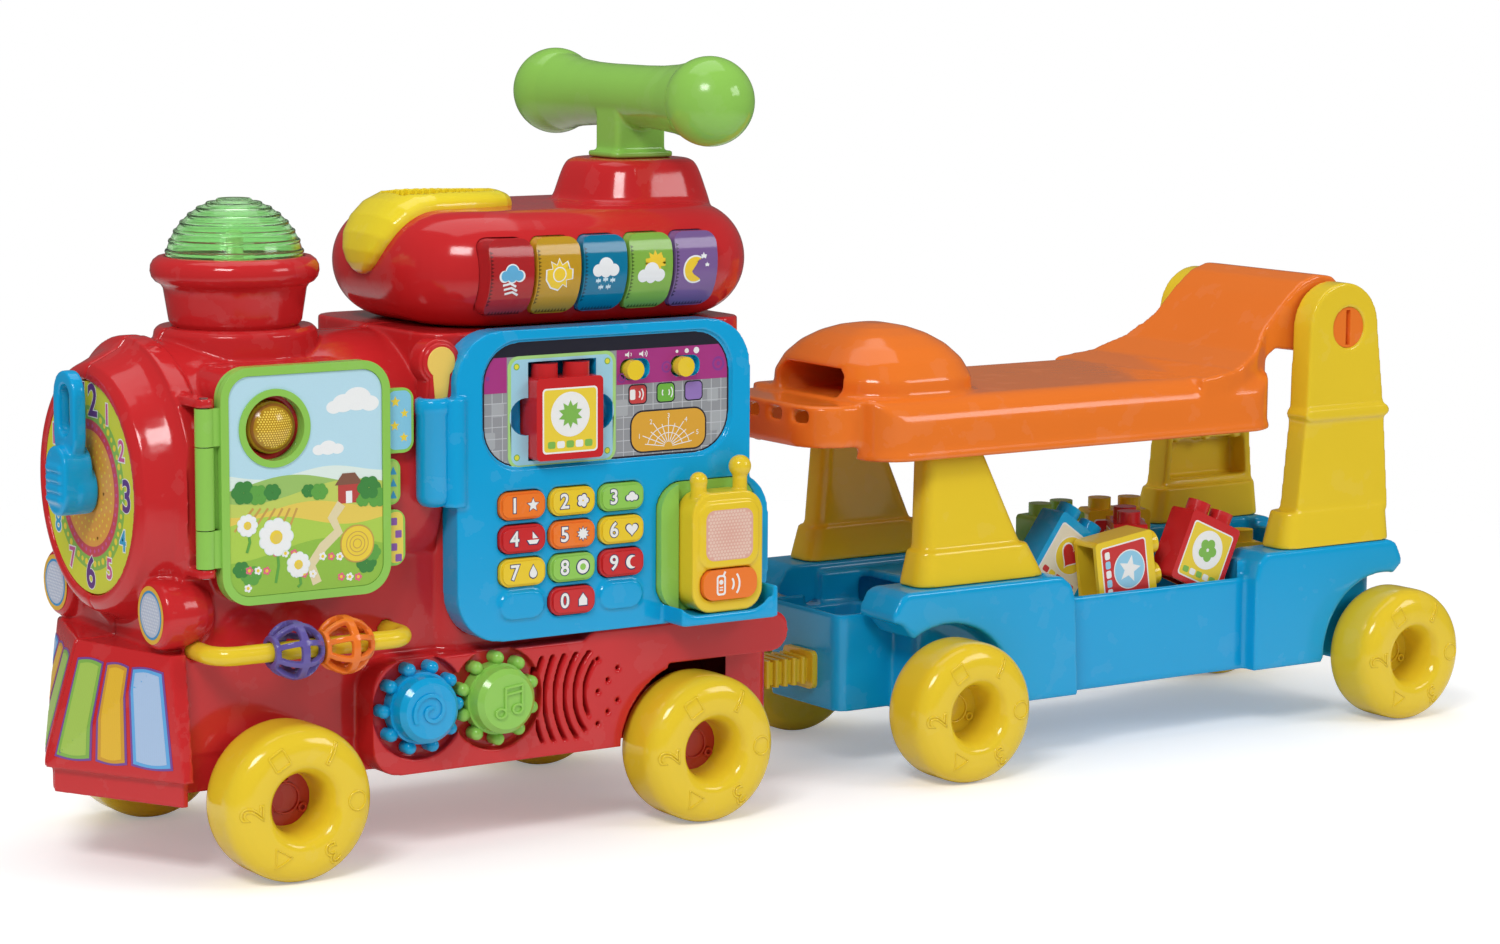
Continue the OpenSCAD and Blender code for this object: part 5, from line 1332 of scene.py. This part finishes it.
class TRAIN_OT_beads(bpy.types.Operator):
    """Open beads with ribs from pole to pole and a band round the middle"""
    bl_idname = "train.beads"
    bl_label = "Open beads"

    def execute(self, context):
        for node, colour in (("bead_front", "purple"), ("bead_rear", "orange")):
            low, high = (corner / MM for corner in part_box(node))
            mid, end, big = (low + high) / 2, (high.x - low.x) / 2, (high.z - low.z) / 2

            def spot(x, radius, turn):
                return mid + Vector((x, radius * math.cos(turn), radius * math.sin(turn)))

            skins = []
            for k in range(8):
                base, rows = 2 * math.pi * (k + 0.5) / 8, []
                for step in range(-9, 10):
                    tilt = math.radians(6.7 * step)
                    x, outer = big * math.sin(tilt), big * math.cos(tilt)
                    wide = 1.7 / max(outer, 7)
                    rows.append([spot(0.8 * x, 0.8 * outer, base - wide),
                                 spot(0.8 * x, 0.8 * outer, base + wide),
                                 spot(x, outer, base + wide), spot(x, outer, base - wide)])
                skins.append(rows)
            for x, inner, outer, wide in ((0, 13.6, big - 0.1, 2.3), (end - 1.6, 6.2, 9.8, 1.5),
                                          (1.6 - end, 6.2, 9.8, 1.5)):
                for k in range(8):
                    rows = []
                    for step in range(7):
                        turn = 2 * math.pi * (k + step / 6.0 + 0.02 * (step > 5)) / 8
                        rows.append([spot(x - wide, inner, turn), spot(x + wide, inner, turn),
                                     spot(x + wide, outer, turn), spot(x - wide, outer, turn)])
                    skins.append(rows)
            bead = lofted("open_" + node, skins, plastic(colour + "_plastic", ink(colour)))
            soften(bead, 0.5, 5)
            baked(bead)
            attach(bead, node)
            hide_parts(node)
        return {"FINISHED"}


class TRAIN_OT_gears(bpy.types.Operator):
    """Raised signs on the two knob gears"""
    bl_idname = "train.gears"
    bl_label = "Knob gears"

    def execute(self, context):
        blue, green = plastic("blue_plastic", ink("blue")), plastic("green_plastic", ink("green"))
        for node, mat in (("gear_front", blue), ("gear_rear", green)):
            low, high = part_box(node)
            mid = (low + high) / 2 / MM
            mark = Relief("sign_" + node, (mid.x, low.y / MM, mid.z), *LEFT)
            if node == "gear_front":
                turns = [(0.5 + 0.021 * a, math.radians(a + 20)) for a in range(60, 560, 12)]
                mark.shape(band([(r * math.cos(t), r * math.sin(t)) for r, t in turns], 2.3), mat, -0.4,
                           1.3)
            else:
                for x, y in ((-5.4, -6.4), (6.0, -4.6)):
                    mark.ring(disc(x, y, 4.1, 28, 0.84), disc(x, y, 2.5, 28, 0.78), mat, -0.4, 1.3)
                for line in ([(-2.2, -6), (-2.2, 8.6)], [(9.2, -4.4), (9.2, 10.4)], [(-3, 8.2), (9.9, 9.8)],
                             [(-2.2, 4.4), (9.2, 6)]):
                    mark.shape(band(line, 1.5), mat, -0.4, 1.3)
            mark.make(node, 0.3)
        return {"FINISHED"}


def look_at(obj, place, aim, roll=0.0):
    obj.location = place
    turn = (Vector(aim) - Vector(place)).to_track_quat("-Z", "Y")
    obj.rotation_euler = (turn.to_matrix() @ Matrix.Rotation(roll, 3, "Z")).to_euler()


def area_light(name, place, aim, size, power):
    lamp = bpy.data.lights.new(name, "AREA")
    lamp.shape = "RECTANGLE"
    lamp.size, lamp.size_y = size
    lamp.energy = power
    obj = bpy.data.objects.new(name, lamp)
    bpy.context.scene.collection.objects.link(obj)
    look_at(obj, place, aim)
    return obj


class TRAIN_OT_stage(bpy.types.Operator):
    """Pale floor, soft light and the camera"""
    bl_idname = "train.stage"
    bl_label = "Stage"

    def execute(self, context):
        scene = context.scene
        stage = scene.train_stage
        scene.view_settings.view_transform = "Standard"
        half = stage.floor / 2
        mesh = bpy.data.meshes.new("floor")
        mesh.from_pydata([(-half, -half, 0), (half, -half, 0), (half, half, 0), (-half, half, 0)], [],
                         [(0, 1, 2, 3)])
        floor = bpy.data.objects.new("floor", mesh)
        scene.collection.objects.link(floor)
        mat = bpy.data.materials.new("pale_floor")
        mat.use_nodes = True
        tree = mat.node_tree
        shader = tree.nodes["Principled BSDF"]
        place = tree.nodes.new("ShaderNodeTexCoord").outputs["Object"]
        speck = noise_node(tree, place, 30.0, 4.0)
        reach = tree.nodes.new("ShaderNodeVectorMath")
        reach.operation = "LENGTH"
        fade = tree.nodes.new("ShaderNodeMapRange")
        fade.interpolation_type = "SMOOTHSTEP"
        for label, value in (("From Min", 0.55), ("From Max", 1.5), ("To Min", 1.0), ("To Max", 0.0)):
            fade.inputs[label].default_value = value
        path = tree.nodes.new("ShaderNodeLightPath")
        shader.inputs["Emission Color"].default_value = (1, 1, 1, 1)
        wire(tree, (place, reach.inputs[0]), (reach.outputs["Value"], fade.inputs["Value"]),
             (fade.outputs["Result"], shader.inputs["Alpha"]),
             (math_node(tree, "MULTIPLY", path.outputs["Is Camera Ray"], 0.28),
              shader.inputs["Emission Strength"]),
             (mix_colour(tree, speck, (0.90, 0.90, 0.90), (0.93, 0.93, 0.93)), shader.inputs["Base Color"]))
        shader.inputs["Roughness"].default_value = 0.9
        floor.data.materials.append(mat)
        world = bpy.data.worlds.new("studio")
        scene.world = world
        world.use_nodes = True
        tree = world.node_tree
        back = tree.nodes["Background"]
        path = tree.nodes.new("ShaderNodeLightPath")
        seen = math_node(tree, "MAXIMUM", path.outputs["Is Camera Ray"],
                         path.outputs["Is Transmission Ray"])
        dimmed = math_node(tree, "MULTIPLY_ADD", path.outputs["Is Glossy Ray"], stage.mirror - stage.sky,
                           stage.sky)
        strength = math_node(tree, "MAXIMUM", seen, dimmed)
        back.inputs["Color"].default_value = (1, 1, 1, 1)
        wire(tree, (strength, back.inputs["Strength"]))
        area_light("key_light", (-2.2, -1.9, 2.6), (-0.1, 0, 0.2), (1.2, 0.9), stage.key)
        area_light("fill_light", (1.9, -2.4, 1.7), (0.1, 0, 0.2), (1.3, 1.0), stage.fill)
        area_light("top_light", (0.0, 0.5, 3.0), (0.0, 0, 0.2), (2.6, 2.0), stage.fill)
        lens = bpy.data.cameras.new("camera")
        lens.sensor_fit = "HORIZONTAL"
        lens.sensor_width = 36.0
        lens.lens = 91.92
        lens.shift_x = -0.01413
        lens.shift_y = -0.005
        camera = bpy.data.objects.new("camera", lens)
        scene.collection.objects.link(camera)
        look_at(camera, (-1.3841, -2.0310, 0.5402), (0, 0, 0.2), math.radians(0.376))
        scene.camera = camera
        return {"FINISHED"}


STEPS = (TRAIN_OT_stage, TRAIN_OT_plastics, TRAIN_OT_roof, TRAIN_OT_beads, TRAIN_OT_clock,
         TRAIN_OT_headlights, TRAIN_OT_grille, TRAIN_OT_book,
         TRAIN_OT_screen, TRAIN_OT_buttons, TRAIN_OT_handset, TRAIN_OT_keys, TRAIN_OT_blocks,
         TRAIN_OT_wheels,
         TRAIN_OT_gears, TRAIN_OT_paddle, TRAIN_OT_sockets)


class TRAIN_PT_looks(bpy.types.Panel):
    """Lists the steps that dress the train"""
    bl_idname = "TRAIN_PT_looks"
    bl_label = "Train looks"
    bl_space_type = "VIEW_3D"
    bl_region_type = "UI"
    bl_category = "Train"

    def draw(self, context):
        for group in ("train_colours", "train_sizes", "train_stage"):
            values = getattr(context.scene, group)
            for name in values.bl_rna.properties.keys():
                if name not in ("name", "rna_type"):
                    self.layout.prop(values, name)
        for step in STEPS:
            self.layout.operator(step.bl_idname)


GROUPS = {"train_colours": TrainColours, "train_sizes": TrainSizes, "train_stage": TrainStage}


def register():
    for name, group in GROUPS.items():
        bpy.utils.register_class(group)
        setattr(bpy.types.Scene, name, PointerProperty(type=group))
    for step in STEPS:
        bpy.utils.register_class(step)
    bpy.utils.register_class(TRAIN_PT_looks)


def unregister():
    bpy.utils.unregister_class(TRAIN_PT_looks)
    for step in reversed(STEPS):
        bpy.utils.unregister_class(step)
    for name, group in GROUPS.items():
        delattr(bpy.types.Scene, name)
        bpy.utils.unregister_class(group)


def main():
    register()
    for step in STEPS:
        group, name = step.bl_idname.split(".")
        getattr(getattr(bpy.ops, group), name)()


if __name__ == "__main__":
    main()
